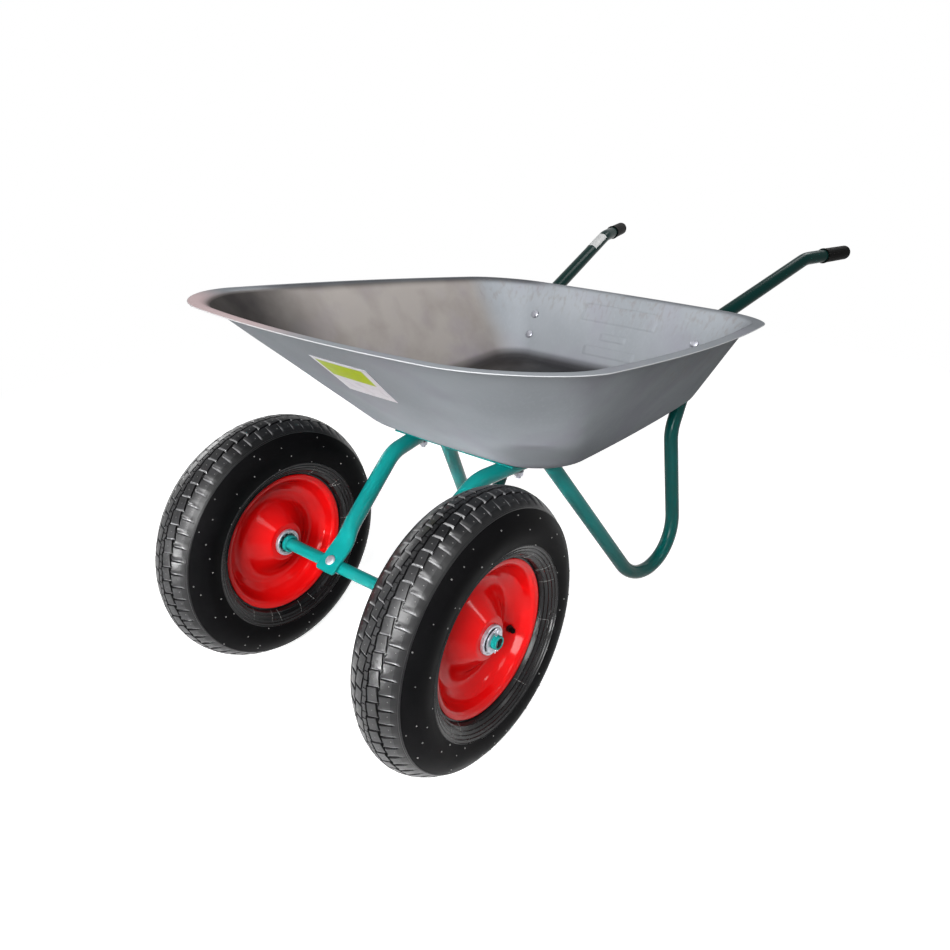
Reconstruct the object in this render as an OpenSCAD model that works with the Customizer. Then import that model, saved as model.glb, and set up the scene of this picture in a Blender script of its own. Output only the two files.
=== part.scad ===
// Two wheel wheelbarrow: a pressed sheet tray on two bent tubes,
// each in one piece from the axle to the grip.
// X points forward to the wheels, Y to the left, Z up. The ground is Z = 0.

/* [Wheels] */
// Outer diameter of the tyre
tyre_d = 406; // [300:1:500]
// Greatest width of the tyre
tyre_w = 108; // [86:1:140]
// Thickness of the tyre's side wall
tyre_wall = 7; // [3:0.5:10]
// Thickness of the tyre under the tread
crown_t = 13; // [6:0.5:20]
// Diameter over the rim's flanges
rim_d = 226; // [200:1:260]
// Width over the rim's flanges
rim_w = 68; // [50:1:80]
// Diameter of the rim where the tyre's beads sit
seat_d = 202; // [170:1:210]
// Sheet thickness of the half rims
rim_t = 2; // [1:0.1:3]
// Distance between the middle planes of the two wheels
track = 411; // [380:1:480]
// Wall of the inner tube
tube_skin = 2.5; // [1:0.1:4]
// Width of a tyre bead
bead_w = 9; // [5:0.5:12]

/* [Hubs] */
// Outer diameter of the hub sleeve
hub_d = 43; // [40:0.5:60]
// Length of the hub sleeve
hub_len = 74; // [50:1:100]
// Outer diameter of a ball bearing
bearing_d = 37; // [34:0.5:39]
// Width of a ball bearing
bearing_w = 9; // [7:0.5:14]
// Radial thickness of a bearing ring at its edge
ring_t = 2.4; // [2:0.1:3]
// Diameter of a bearing ball
ball_d = 5.2; // [4.4:0.1:5.8]
// Number of balls in a bearing
ball_count = 9; // [6:1:12]
// Step of the hub's bore behind each bearing
hub_step = 1.5; // [0.5:0.1:3]
// Recess of each bearing below the hub's end face
bearing_sink = 1; // [0.5:0.1:3]

/* [Valve] */
// Diameter of the valve stem
valve_d = 10; // [6:0.5:14]
// Length of the valve stem
valve_len = 14; // [8:1:30]
// Diameter of the valve cap
cap_d = 8; // [5:0.5:12]
// Length of the valve cap
cap_len = 8; // [6:0.5:16]
// Turn of the valve about the axle at rest, upward from straight behind the axle
valve_turn = -27; // [-90:1:90]

/* [Axle] */
// Diameter of the axle
axle_d = 20; // [18:0.5:22]
// Wall of the axle, which is a tube
axle_wall = 3; // [2:0.1:5]
// Thickness of the washer outside each wheel
hub_washer_t = 2.5; // [1.5:0.1:5]
// Outer diameter of the washer and the collar beside each wheel
hub_washer_d = 34; // [28:0.5:36]
// Length of the collar inside each wheel
collar_len = 8; // [4:0.5:20]
// Diameter of the split pins
pin_d = 4; // [2:0.5:6]
// Length of axle beyond each split pin
axle_over = 3.5; // [2:0.5:14]

/* [Frame tubes] */
// Diameter of the frame tubes
tube_d = 27; // [22:0.5:32]
// Wall of the frame tubes
tube_wall = 1.5; // [1:0.1:3]
// Distance between the two flattened ends along the axle
lug_spread = 120; // [90:1:180]
// Thickness of a flattened end
lug_t = 5; // [3:0.5:8]
// Width of a flattened end
lug_w = 38; // [30:1:46]
// Length of the flat behind the axle bolt
lug_len = 26; // [22:1:40]
// Length of the flat ahead of the axle bolt
lug_end = 19; // [15:0.5:24]
// Radius of the flattened end's two corners
lug_corner_r = 8; // [3:0.5:12]
// Length over which the tube goes from flat to round
taper_len = 45; // [30:1:70]
// Rise of the tube behind the axle
rise_angle = 33; // [25:0.5:42]
// Spread of the front stretches in plan
front_splay = 8.8; // [4:0.1:14]
// Height of the level stretch under the floor, at the tube's centre
carry_h = 327; // [290:1:360]
// Length of the level stretch between its two bends' corners
level_len = 148; // [120:1:220]
// Bend radius behind the axle
front_bend_r = 70; // [45:1:100]
// Bend radius where the leg starts
shoulder_bend_r = 60; // [45:1:90]
// Bend radius of the foot
foot_bend_r = 88; // [60:1:100]
// Bend radius at the foot of the rear wall
heel_bend_r = 80; // [50:1:120]
// Bend radius at the top of the rear wall
back_bend_r = 55; // [40:1:60]
// Bend radius in front of the grip
grip_bend_r = 110; // [60:1:180]

/* [Legs] */
// Fall of the leg's front arm below level
leg_angle = 54.8; // [48:0.1:62]
// Spread of the leg's front arm in plan
leg_splay = 22; // [16:0.1:26]
// Backward lean of the leg's rear arm
leg_back_lean = 0.8; // [0:0.1:6]
// Inward lean of the leg's rear arm
leg_in_lean = 8.0; // [4:0.1:9]
// Height where the leg's rear arm meets the line of the rear wall
heel_h = 271; // [250:1:300]

/* [Handles] */
// Height where the line of the rear wall meets the line of the handle
back_h = 451; // [430:1:480]
// Rise of the handles
handle_angle = 12.7; // [6:0.1:18]
// Spread of the handles in plan
handle_splay = 9.8; // [4:0.1:14]
// Length of a handle between its bends' corners
handle_len = 380; // [300:1:480]
// Spread of the grips in plan
grip_splay = 14; // [8:0.1:20]
// Drop of the grips below level
grip_drop = 1.5; // [0:0.1:8]
// Length of tube from the last bend's corner to the tip of the grip
grip_reach = 166; // [140:1:220]
// Length of a grip
grip_len = 96; // [80:1:130]
// Wall of a grip round the tube
grip_wall = 1.6; // [1:0.1:8]
// Height of the ring round a grip's mouth
grip_lip = 0.9; // [0.5:0.1:5]
// Length of that ring
grip_lip_len = 3; // [2:0.5:12]
// Thickness of a grip's closed end
grip_cap_t = 6; // [3:0.5:10]

/* [Tray] */
// Sheet thickness of the tray
sheet_t = 1.2; // [0.8:0.1:2]
// Width of the rim flange
flange_w = 22; // [15:1:28]
// Distance of the rim's front edge ahead of the axle at the corners
rim_front = 51; // [20:1:90]
// Bow of the rim's front edge
front_bow = 46; // [20:1:60]
// Bow of the rim's rear edge
rear_bow = 22; // [10:1:40]
// Bow of the rim's sides
side_bow = 32; // [10:1:40]
// Half width of the rim at the front
rim_half_front = 330; // [300:1:360]
// Half width of the rim at the rear
rim_half_rear = 308; // [280:1:340]
// Corner radius of the rim at the front
rim_front_r = 128; // [100:1:160]
// Corner radius of the rim at the rear
rim_rear_r = 98; // [80:1:120]
// Height of the rim's plane above the axle
rim_h = 584; // [540:1:620]
// Tilt of the rim's plane, higher at the front
rim_tilt = 7.4; // [3:0.1:10]
// Distance of the floor's front edge behind the axle
floor_front = 209; // [195:1:220]
// Half width of the floor at the front
floor_half_front = 196; // [165:1:220]
// Half width of the floor at the rear
floor_half_rear = 214; // [205:1:235]
// Corner radius of the floor at the front
floor_front_r = 80; // [50:1:110]
// Corner radius of the floor at the rear
floor_rear_r = 48; // [35:1:60]
// Slope of the rear wall and of the tube behind it
wall_angle = 62; // [57:0.1:66]

/* [Cross strip] */
// Thickness of the cross strip
strip_t = 3; // [2:0.5:5]
// Width of the cross strip
strip_w = 62; // [40:1:70]
// Distance of the strip's front edge ahead of its bolts
strip_lead = 48; // [25:1:56]
// Length of the strip beyond each bolt
strip_over = 21; // [15:1:30]

/* [Fasteners] */
// Diameter of the bolts
bolt_d = 8; // [6:0.5:10]
// Diameter of a bolt's head
head_d = 16.5; // [14:0.5:24]
// Height of a bolt's head
head_h = 3.5; // [2:0.5:6]
// Width of a nut across its flats
nut_w = 13; // [12:0.5:17]
// Height of a nut
nut_h = 6.5; // [4:0.5:9]
// Outer diameter of a washer
washer_d = 17; // [15:0.5:22]
// Thickness of a washer
washer_t = 1.6; // [1:0.1:3]
// Length of thread beyond a nut
bolt_over = 4; // [2:0.5:10]
// Distance of the floor bolt behind the front bend's corner
floor_bolt_at = 92; // [85:1:105]
// Height of the lower rear wall bolt at the tube's centre
back_bolt_h = 381; // [365:1:390]
// Distance between the two rear wall bolts of a side
back_bolt_pitch = 44; // [35:1:50]

/* [Hidden] */
$fn = 64;
// One overrun for every cut, and the clearances
over = 3;
fit_gap = 0.05;
bolt_gap = 0.4;
seat_gap = 0.3;
run_gap = 0.5;
wall_gap = 1.4;
tube_r = tube_d / 2;
tyre_r = tyre_d / 2;
axle_r = axle_d / 2;
bolt_r = bolt_d / 2;

function unit(v) = v / norm(v);
function mix(a, b, k) = a + (b - a) * k;

// Corners of the left tube's centre line, from the axle to the grip
lug_up = [sin(rise_angle), 0, cos(rise_angle)];
lug_mid = [0, lug_spread / 2, tyre_r] + (axle_r + lug_t / 2) * lug_up;
rise_dir = [-cos(rise_angle) * cos(front_splay), cos(rise_angle) * sin(front_splay), sin(rise_angle)];
tube_start = lug_mid + (lug_len + taper_len) * rise_dir;
bend_1 = lug_mid + (carry_h - lug_mid.z) / rise_dir.z * rise_dir;
level_dir = [-cos(front_splay), sin(front_splay), 0];
bend_2 = bend_1 + level_len * level_dir;
arm_dir = [-cos(leg_angle) * cos(leg_splay), cos(leg_angle) * sin(leg_splay), -sin(leg_angle)];
up_dir = unit([-tan(leg_back_lean), -tan(leg_in_lean), 1]);
// The foot's bend is a circle between the two arms, and its lowest point rests on the ground
foot_half = (180 - acos(arm_dir * up_dir)) / 2;
foot_in = unit(up_dir - arm_dir);
foot_normal = unit(cross(arm_dir, up_dir));
foot_rise = foot_in.z / sin(foot_half) - sqrt(1 - pow(foot_normal.z, 2));
arm_len = (tube_r - foot_bend_r * foot_rise - carry_h) / arm_dir.z;
bend_3 = bend_2 + arm_len * arm_dir;
bend_4 = bend_3 + (heel_h - bend_3.z) / up_dir.z * up_dir;
wall_dir = [-cos(wall_angle), 0, sin(wall_angle)];
wall_out = [-sin(wall_angle), 0, -cos(wall_angle)];
bend_5 = bend_4 + (back_h - heel_h) / wall_dir.z * wall_dir;
handle_dir = [-cos(handle_angle) * cos(handle_splay), cos(handle_angle) * sin(handle_splay),
    sin(handle_angle)];
bend_6 = bend_5 + handle_len * handle_dir;
grip_dir = [-cos(grip_drop) * cos(grip_splay), cos(grip_drop) * sin(grip_splay), -sin(grip_drop)];
grip_tip = bend_6 + grip_reach * grip_dir;
tube_end = grip_tip - (grip_cap_t + seat_gap) * grip_dir;
tube_line = [tube_start, bend_1, bend_2, bend_3, bend_4, bend_5, bend_6, tube_end];
tube_bends = [0, front_bend_r, shoulder_bend_r, foot_bend_r, heel_bend_r, back_bend_r, grip_bend_r, 0];

// Stations along the tube, each a place and a direction, with several round each bend
tube_sides = 24;
bend_step = 10;
function bend_stations(a, p, b, bend) =
    let (d = unit(p - a), e = unit(b - p), turn = acos(d * e), m = cross(unit(cross(d, e)), d),
        s = p - bend * tan(turn / 2) * d, steps = ceil(turn / bend_step))
    [for (k = [0:steps]) let (q = turn * k / steps)
        [s + bend * (sin(q) * d + (1 - cos(q)) * m), cos(q) * d + sin(q) * m]];
stations = concat([[tube_start, rise_dir]],
    [for (i = [1:len(tube_line) - 2])
        each bend_stations(tube_line[i - 1], tube_line[i], tube_line[i + 1], tube_bends[i])],
    [[tube_end, grip_dir]]);
function laterals(v, i = 0) = i == len(stations) ? []
    : let (t = stations[i][1], w = unit(v - (v * t) * t)) concat([w], laterals(w, i + 1));
tube_sideways = laterals([0, 1, 0]);
function tube_ring(i, r, back = 0) = [for (k = [0:tube_sides - 1])
    let (a = 360 * k / tube_sides, t = stations[i][1], w = tube_sideways[i])
    stations[i][0] - back * t + r * (cos(a) * w + sin(a) * cross(w, t))];
// The flattened end has level faces and rounded corners, and swells back into the round tube
lug_dir = [-cos(rise_angle), 0, sin(rise_angle)];
function lug_ring(u, half) = [for (k = [0:tube_sides - 1])
    let (a = 360 * k / tube_sides)
    lug_mid + u * lug_dir + half * cos(a) * [0, 1, 0] + sign(sin(a)) * lug_t / 2 * lug_up];
lug_tip_steps = 5;
taper_steps = 5;
function swell(t) = t * t * (3 - 2 * t);
function taper_ring(t) =
    let (flat_ring = lug_ring(lug_len + taper_len * t, lug_w / 2),
        round_ring = tube_ring(0, tube_r, taper_len * (1 - t)))
    [for (k = [0:tube_sides - 1]) mix(flat_ring[k], round_ring[k], swell(t))];
tube_skin_rings = concat(
    [for (i = [0:lug_tip_steps]) let (a = 90 * i / lug_tip_steps)
        lug_ring(lug_corner_r * (1 - cos(a)) - lug_end, lug_w / 2 - lug_corner_r * (1 - sin(a)))],
    [for (i = [0:taper_steps - 1]) taper_ring(i / taper_steps)],
    [for (i = [0:len(stations) - 1]) tube_ring(i, tube_r)]);
bore_start = tube_ring(0, tube_r - tube_wall, -tube_wall);
tube_bore_rings = concat([bore_start], [for (i = [1:len(stations) - 1]) tube_ring(i, tube_r - tube_wall)]);
tube_skin_points = [for (r = tube_skin_rings) each r];
tube_bore_points = [for (r = tube_bore_rings) each r];
skin_n = len(tube_skin_rings);
bore_n = len(tube_bore_rings);
function skin_id(i, k) = i * tube_sides + k % tube_sides;
function bore_id(i, k) = (skin_n + i) * tube_sides + k % tube_sides;
tip_low = tube_sides - 1;
tip_last = tube_sides / 2 - 1;
tip_faces = concat(
    [for (k = [1:tip_last]) [skin_id(0, tip_low + 1 - k), skin_id(0, tip_low - k), skin_id(0, k)]],
    [for (k = [0:tip_last - 1]) [skin_id(0, tip_low - k), skin_id(0, k + 1), skin_id(0, k)]]);
tube_faces = concat(
    tip_faces,
    [[for (k = [0:tube_sides - 1]) bore_id(0, k)]],
    [for (i = [0:skin_n - 2]) for (k = [0:tube_sides - 1]) each [
        [skin_id(i, k), skin_id(i, k + 1), skin_id(i + 1, k)],
        [skin_id(i, k + 1), skin_id(i + 1, k + 1), skin_id(i + 1, k)]]],
    [for (i = [0:bore_n - 2]) for (k = [0:tube_sides - 1]) each [
        [bore_id(i, k), bore_id(i + 1, k), bore_id(i, k + 1)],
        [bore_id(i, k + 1), bore_id(i + 1, k), bore_id(i + 1, k + 1)]]],
    [for (k = [0:tube_sides - 1]) each [
        [skin_id(skin_n - 1, k), skin_id(skin_n - 1, k + 1), bore_id(bore_n - 1, k)],
        [skin_id(skin_n - 1, k + 1), bore_id(bore_n - 1, k + 1), bore_id(bore_n - 1, k)]]]);

// The axle stands so that the whole length is centred on the origin
grip_r = tube_r + seat_gap + grip_wall;
tip_share = 0.6;
tip_r = grip_r * tip_share;
tip_turned = acos(-grip_dir.x);
tip_back = (grip_r - tip_r) * sin(tip_turned) + tip_r * (1 - cos(tip_turned));
axle_x = (tyre_r - grip_tip.x + tip_back) / 2 - tyre_r;

// Places of the fasteners
floor_bolt = bend_1 + floor_bolt_at * level_dir;
floor_z = carry_h + tube_r + strip_t;
back_bolt_1 = bend_4 + (back_bolt_h - heel_h) / wall_dir.z * wall_dir;
back_bolts_at = [back_bolt_1, back_bolt_1 + back_bolt_pitch * wall_dir];

// Wheel places along the axle, from the wheel's middle plane outward
half_hub = hub_len / 2;
washer_z = half_hub + run_gap;
pin_z = washer_z + hub_washer_t + seat_gap + pin_d / 2;
axle_half = track / 2 + pin_z + pin_d / 2 + axle_over;

// Tray outlines: rounded outline with bowed edges, same number of points at every level
floor_rear = bend_4.x - (floor_z - heel_h) / tan(wall_angle) + (tube_r + wall_gap) / sin(wall_angle);
rim_slope = tan(rim_tilt);
top_rear = (floor_rear + (floor_z - rim_h) / tan(wall_angle)) / (1 + rim_slope / tan(wall_angle));
bow_share = 1 - pow(bend_4.y / rim_half_front, 2);
rim_rear = top_rear - flange_w + rear_bow * bow_share;
// The bowed wall stands this far forward of its plane at the rear bolts
crown_share = 0.13;
wall_crown = rear_bow * crown_share;
edge_steps = 5;
side_steps = 7;
corner_steps = 8;

function half_outline(xf, xr, wf, wr, rf, rr) = concat(
    [for (i = [0:edge_steps - 1]) [xf, (wf - rf) * i / edge_steps]],
    [for (i = [0:corner_steps]) let (a = 90 * i / corner_steps)
        [xf - rf + rf * cos(a), wf - rf + rf * sin(a)]],
    [for (i = [1:side_steps - 1]) let (k = i / side_steps) [mix(xf - rf, xr + rr, k), mix(wf, wr, k)]],
    [for (i = [0:corner_steps]) let (a = 90 * i / corner_steps)
        [xr + rr - rr * sin(a), wr - rr + rr * cos(a)]],
    [for (i = [1:edge_steps]) [xr, (wr - rr) * (1 - i / edge_steps)]]);
function bowed(p, xf, xr, w, bf, br, bs) = [for (q = p)
    let (u = (q.x - (xf + xr) / 2) / ((xf - xr) / 2), s = q.y / w)
    [q.x + bf * pow(max(u, 0), 2) * (1 - s * s) - br * pow(max(-u, 0), 2) * (1 - s * s),
        q.y + bs * (1 - u * u) * s]];
function whole(p) = concat(p, [for (i = [len(p) - 2:-1:1]) [p[i].x, -p[i].y]]);
function outline(xf, xr, wf, wr, rf, rr, bf, br, bs) =
    whole(bowed(half_outline(xf, xr, wf, wr, rf, rr), xf, xr, max(wf, wr), bf, br, bs));
function on_rim(p) = [for (q = p) [q.x, q.y, rim_h + rim_slope * q.x]];

floor_bow_share = 0.25;
edge_line = on_rim(outline(rim_front, rim_rear, rim_half_front, rim_half_rear, rim_front_r, rim_rear_r,
    front_bow, rear_bow, side_bow));
top_line = on_rim(outline(rim_front - flange_w, rim_rear + flange_w, rim_half_front - flange_w,
    rim_half_rear - flange_w, rim_front_r - flange_w, rim_rear_r - flange_w,
    front_bow, rear_bow, side_bow));
floor_line = [for (q = outline(-floor_front, floor_rear, floor_half_front, floor_half_rear,
    floor_front_r, floor_rear_r, front_bow * floor_bow_share, 0, side_bow * floor_bow_share))
    [q.x, q.y, floor_z]];
// The walls are straight between the floor's line and the rim's,
// and curves blend them into floor and flange
middle_share = 0.5;
foot_share = 0.1;
brow_share = 0.07;
brim_share = 0.3;
curve_steps = 4;
function curve(a, b, c, t) = a * pow(1 - t, 2) + b * 2 * t * (1 - t) + c * pow(t, 2);
function flat_part(v) = [v.x, v.y, 0];
function wall_column(i) = let (f = floor_line[i], t = top_line[i], e = edge_line[i], r = t - f)
    concat(
        [for (k = [0:curve_steps])
            curve(f - foot_share * flat_part(r), f, f + foot_share * r, k / curve_steps)],
        [mix(f, t, middle_share)],
        [for (k = [0:curve_steps - 1])
            curve(t - brow_share * r, t, mix(t, e, brim_share), k / (curve_steps - 1))],
        [e]);
sheet_n = len(floor_line);
sheet_columns = [for (i = [0:sheet_n - 1]) wall_column(i)];
sheet_m = len(sheet_columns[0]);
rim_up = unit([-rim_slope, 0, 1]);
function at(i, j) = sheet_columns[(i + sheet_n) % sheet_n][j];
function sheet_up(i, j) = j == 0 ? [0, 0, 1] : j >= sheet_m - 2 ? rim_up
    : unit(cross(at(i, j + 1) - at(i, j - 1), at(i + 1, j) - at(i - 1, j)));
under_points = [for (i = [0:sheet_n - 1]) for (j = [0:sheet_m - 1]) at(i, j)];
inside_points = [for (i = [0:sheet_n - 1]) for (j = [0:sheet_m - 1]) at(i, j) + sheet_t * sheet_up(i, j)];
function id(i, j, layer) = layer * sheet_n * sheet_m + (i % sheet_n) * sheet_m + j;
sheet_faces = concat(
    [for (i = [0:sheet_n - 1]) for (j = [0:sheet_m - 2]) each [
        [id(i, j, 0), id(i, j + 1, 0), id(i + 1, j, 0)],
        [id(i + 1, j, 0), id(i, j + 1, 0), id(i + 1, j + 1, 0)],
        [id(i, j, 1), id(i + 1, j, 1), id(i, j + 1, 1)],
        [id(i + 1, j, 1), id(i + 1, j + 1, 1), id(i, j + 1, 1)]]],
    [for (i = [0:sheet_n - 1]) each [
        [id(i, sheet_m - 1, 0), id(i, sheet_m - 1, 1), id(i + 1, sheet_m - 1, 0)],
        [id(i + 1, sheet_m - 1, 0), id(i, sheet_m - 1, 1), id(i + 1, sheet_m - 1, 1)]]],
    [[for (i = [0:sheet_n - 1]) id(i, 0, 0)]],
    [[for (i = [sheet_n - 1:-1:0]) id(i, 0, 1)]]);

// Tyre section: a rounded curve from bead to crown, given at any skin depth
round_share = 1.12;
widest_share = 0.44;
lip_gap = 2.5;
bead_z = rim_w / 2 - rim_t - seat_gap;
neck_r = rim_d / 2 + lip_gap;
widest_r = mix(neck_r, tyre_r, widest_share);
section_steps = 10;
function section(top_r, half_w, low_r, low_z) = concat(
    [for (i = [0:section_steps - 1]) let (a = 90 * i / section_steps)
        [widest_r - (widest_r - low_r) * pow(cos(a), round_share),
            low_z + (half_w - low_z) * pow(sin(a), round_share)]],
    [for (i = [0:section_steps]) let (a = 90 * i / section_steps)
        [widest_r + (top_r - widest_r) * pow(sin(a), round_share), half_w * pow(cos(a), round_share)]]);
function flipped(p) = [for (i = [len(p) - 1:-1:0]) [p[i].x, -p[i].y]];
bead_low = seat_d / 2 + seat_gap;
tyre_out = concat([[bead_low, bead_z]], section(tyre_r, tyre_w / 2, neck_r, bead_z));
tyre_in = concat([[bead_low, bead_z - bead_w]],
    section(tyre_r - crown_t, tyre_w / 2 - tyre_wall, neck_r, bead_z - bead_w));
tube_low = neck_r;
tube_out = section(tyre_r - crown_t - run_gap, tyre_w / 2 - tyre_wall - run_gap, tube_low, 0);
tube_in = section(tyre_r - crown_t - run_gap - tube_skin, tyre_w / 2 - tyre_wall - run_gap - tube_skin,
    tube_low + tube_skin, 0);

// A strip of sheet along an open line of points, to the right of its direction
function left_of(a, b) = let (d = unit(b - a)) [-d.y, d.x];
function corner_dir(p, i) = i == 0 ? left_of(p[0], p[1])
    : i == len(p) - 1 ? left_of(p[i - 1], p[i])
    : let (a = left_of(p[i - 1], p[i]), m = unit(a + left_of(p[i], p[i + 1]))) m / (m * a);
function sheet_strip(p, t) = concat(p, [for (i = [len(p) - 1:-1:0]) p[i] - t * corner_dir(p, i)]);
land_w = 9;
land_share = 0.86;
valley_share = 0.57;
slope_share = 0.69;
shelf_share = 0.42;
face_r = seat_d / 2 - rim_t;
rim_line = [[hub_d / 2 + fit_gap, half_hub * land_share], [hub_d / 2 + land_w, half_hub * land_share],
    [rim_d / 2 * valley_share, rim_t], [rim_d / 2 * slope_share, rim_t], [face_r, rim_w / 2 * shelf_share],
    [face_r, rim_w / 2], [rim_d / 2, rim_w / 2]];
// The valve stands square to the slope between the rim's valley and its seat
slope_mid = (rim_line[3] + rim_line[4]) / 2;
slope_out = left_of(rim_line[3], rim_line[4]);
// Behind the rim it bends, in the middle plane, out to the inner tube
valve_back = slope_mid.y / slope_out.y;
valve_bend_r = slope_mid.x - valve_back * slope_out.x;
bulb_share = 1.12;
root_share = 0.8;

function pitch_r() = (bearing_d + axle_d) / 4;
bearing_z = half_hub - bearing_sink - bearing_w;

module placed(side) {
    translate([axle_x, 0, 0])
        if (side > 0) children();
        else mirror([0, 1, 0]) children();
}

module pair() {
    placed(1) children();
    placed(-1) children();
}

module on_wheel(side) {
    placed(side) translate([0, track / 2, tyre_r]) rotate([-90, 0, 0]) children();
}

module along(dir) {
    rotate([0, acos(dir.z / norm(dir)), atan2(dir.y, dir.x)]) children();
}

module ring(outer, inner, h) {
    difference() {
        cylinder(h = h, r = outer);
        translate([0, 0, -over]) cylinder(h = h + 2 * over, r = inner);
    }
}

// Dome headed bolt: the head stands above the origin and the shank hangs below it
dome_steps = 6;
module bolt(reach) {
    rotate_extrude()
        polygon(concat([[0, -reach], [bolt_r, -reach], [bolt_r, 0]],
            [for (i = [0:dome_steps]) let (a = 90 * i / dome_steps)
                [head_d / 2 * cos(a), head_h * sin(a)]]));
}

module nut() {
    difference() {
        cylinder(h = nut_h, r = nut_w / 2 / cos(30), $fn = 6);
        translate([0, 0, -over]) cylinder(h = nut_h + 2 * over, r = bolt_r + bolt_gap);
    }
}

module washer() {
    ring(washer_d / 2, bolt_r + bolt_gap, washer_t);
}

module bolt_hole(reach) {
    translate([0, 0, -reach]) cylinder(h = 2 * reach, r = bolt_r + bolt_gap);
}

// Frames of the three kinds of bolt: Z points from the nut to the head, origin under the head
nut_stack = washer_t + nut_h + bolt_over;
floor_reach = floor_z + sheet_t - (carry_h - tube_r) + nut_stack;
head_stand = tube_r + wall_gap + wall_crown + sheet_t;
back_reach = head_stand + tube_r + nut_stack;
axle_reach = lug_t + axle_d + nut_stack;
module at_floor_bolt() {
    translate([floor_bolt.x, floor_bolt.y, floor_z + sheet_t]) children();
}

module at_back_bolts() {
    for (p = back_bolts_at)
        translate(p - head_stand * wall_out) along(-wall_out) children();
}

module at_axle_bolt() {
    translate(lug_mid + lug_t / 2 * lug_up) along(lug_up) children();
}

module tray() {
    color("silver")
        difference() {
            translate([axle_x, 0, 0])
                polyhedron(points = concat(under_points, inside_points), faces = sheet_faces);
            pair() at_floor_bolt() bolt_hole(sheet_t + over);
            pair() at_back_bolts() bolt_hole(wall_crown + sheet_t + over);
        }
}

module cross_strip() {
    strip_half = floor_bolt.y + strip_over;
    color("teal")
        difference() {
            translate([axle_x + floor_bolt.x + strip_lead - strip_w, -strip_half, carry_h + tube_r])
                cube([strip_w, 2 * strip_half, strip_t]);
            pair() at_floor_bolt() bolt_hole(strip_t + sheet_t + over);
        }
}

module frame_tube() {
    color("teal")
        difference() {
            polyhedron(points = concat(tube_skin_points, tube_bore_points), faces = tube_faces);
            at_axle_bolt() bolt_hole(lug_t + over);
            translate(floor_bolt) bolt_hole(tube_d);
            at_back_bolts() bolt_hole(2 * tube_d);
        }
}

module left_frame_tube() {
    placed(1) frame_tube();
}

module right_frame_tube() {
    placed(-1) frame_tube();
}

tip_steps = 6;
module grip() {
    color("dimgray")
        translate(grip_tip) along(-grip_dir)
            rotate_extrude()
                polygon(concat(
                    [[0, 0]],
                    [for (i = [0:tip_steps]) let (a = 90 * i / tip_steps)
                        [grip_r - tip_r + tip_r * sin(a), tip_r - tip_r * cos(a)]],
                    [[grip_r, grip_len - grip_lip_len],
                        [grip_r + grip_lip, grip_len - grip_lip_len],
                        [grip_r + grip_lip, grip_len], [tube_r + seat_gap, grip_len],
                        [tube_r + seat_gap, grip_cap_t], [0, grip_cap_t]]));
}

module left_grip() {
    placed(1) grip();
}

module right_grip() {
    placed(-1) grip();
}

module axle() {
    color("teal")
        difference() {
            translate([axle_x, -axle_half, tyre_r]) rotate([-90, 0, 0])
                cylinder(h = 2 * axle_half, r = axle_r);
            translate([axle_x, -axle_half - over, tyre_r]) rotate([-90, 0, 0])
                cylinder(h = 2 * (axle_half + over), r = axle_r - axle_wall);
            pair() at_axle_bolt() translate([0, 0, -lug_t - axle_r]) bolt_hole(axle_d);
            pair() translate([0, track / 2 + pin_z, tyre_r - axle_d])
                cylinder(h = 2 * axle_d, r = pin_d / 2 + seat_gap);
        }
}

module axle_bolts() {
    color("silver") pair() at_axle_bolt() bolt(axle_reach);
}

module axle_washers() {
    color("silver") pair() at_axle_bolt() translate([0, 0, -lug_t - axle_d - washer_t]) washer();
}

module axle_nuts() {
    color("silver") pair() at_axle_bolt() translate([0, 0, -lug_t - axle_d - washer_t - nut_h]) nut();
}

module floor_bolts() {
    color("silver") pair() at_floor_bolt() bolt(floor_reach);
}

module floor_washers() {
    color("silver") pair() at_floor_bolt() translate([0, 0, nut_stack - floor_reach - washer_t]) washer();
}

module floor_nuts() {
    color("silver") pair() at_floor_bolt()
        translate([0, 0, nut_stack - floor_reach - washer_t - nut_h]) nut();
}

module back_bolts() {
    color("silver") pair() at_back_bolts() bolt(back_reach);
}

module back_washers() {
    color("silver") pair() at_back_bolts() translate([0, 0, nut_stack - back_reach - washer_t]) washer();
}

module back_nuts() {
    color("silver") pair() at_back_bolts()
        translate([0, 0, nut_stack - back_reach - washer_t - nut_h]) nut();
}

module tyre() {
    color("black")
        rotate_extrude() polygon(concat(tyre_out, flipped(tyre_out), [for (i = [0:len(tyre_in) - 1])
            [tyre_in[i].x, -tyre_in[i].y]], flipped([for (q = tyre_in) [q.x, -q.y]])));
}

module inner_tube() {
    color("dimgray")
        rotate_extrude()
            difference() {
                polygon(concat(tube_out, flipped(tube_out)));
                polygon(concat(tube_in, flipped(tube_in)));
            }
}

module at_valve() {
    rotate([0, 0, 180 + valve_turn])
        translate([slope_mid.x, 0, slope_mid.y]) along([slope_out.x, 0, slope_out.y]) children();
}

module half_rim(valve) {
    color("red")
        difference() {
            rotate_extrude() polygon(sheet_strip(rim_line, rim_t));
            if (valve)
                at_valve() translate([0, 0, -rim_t - over])
                    cylinder(h = rim_t + 2 * over, r = valve_d / 2 + seat_gap);
        }
}

module hub_sleeve() {
    seat_depth = bearing_w + bearing_sink;
    color("silver")
        difference() {
            translate([0, 0, -half_hub]) cylinder(h = hub_len, r = hub_d / 2);
            translate([0, 0, -half_hub - over])
                cylinder(h = hub_len + 2 * over, r = bearing_d / 2 - hub_step);
            translate([0, 0, half_hub - seat_depth])
                cylinder(h = seat_depth + over, r = bearing_d / 2 + fit_gap);
            translate([0, 0, -half_hub - over])
                cylinder(h = seat_depth + over, r = bearing_d / 2 + fit_gap);
        }
}

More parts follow.
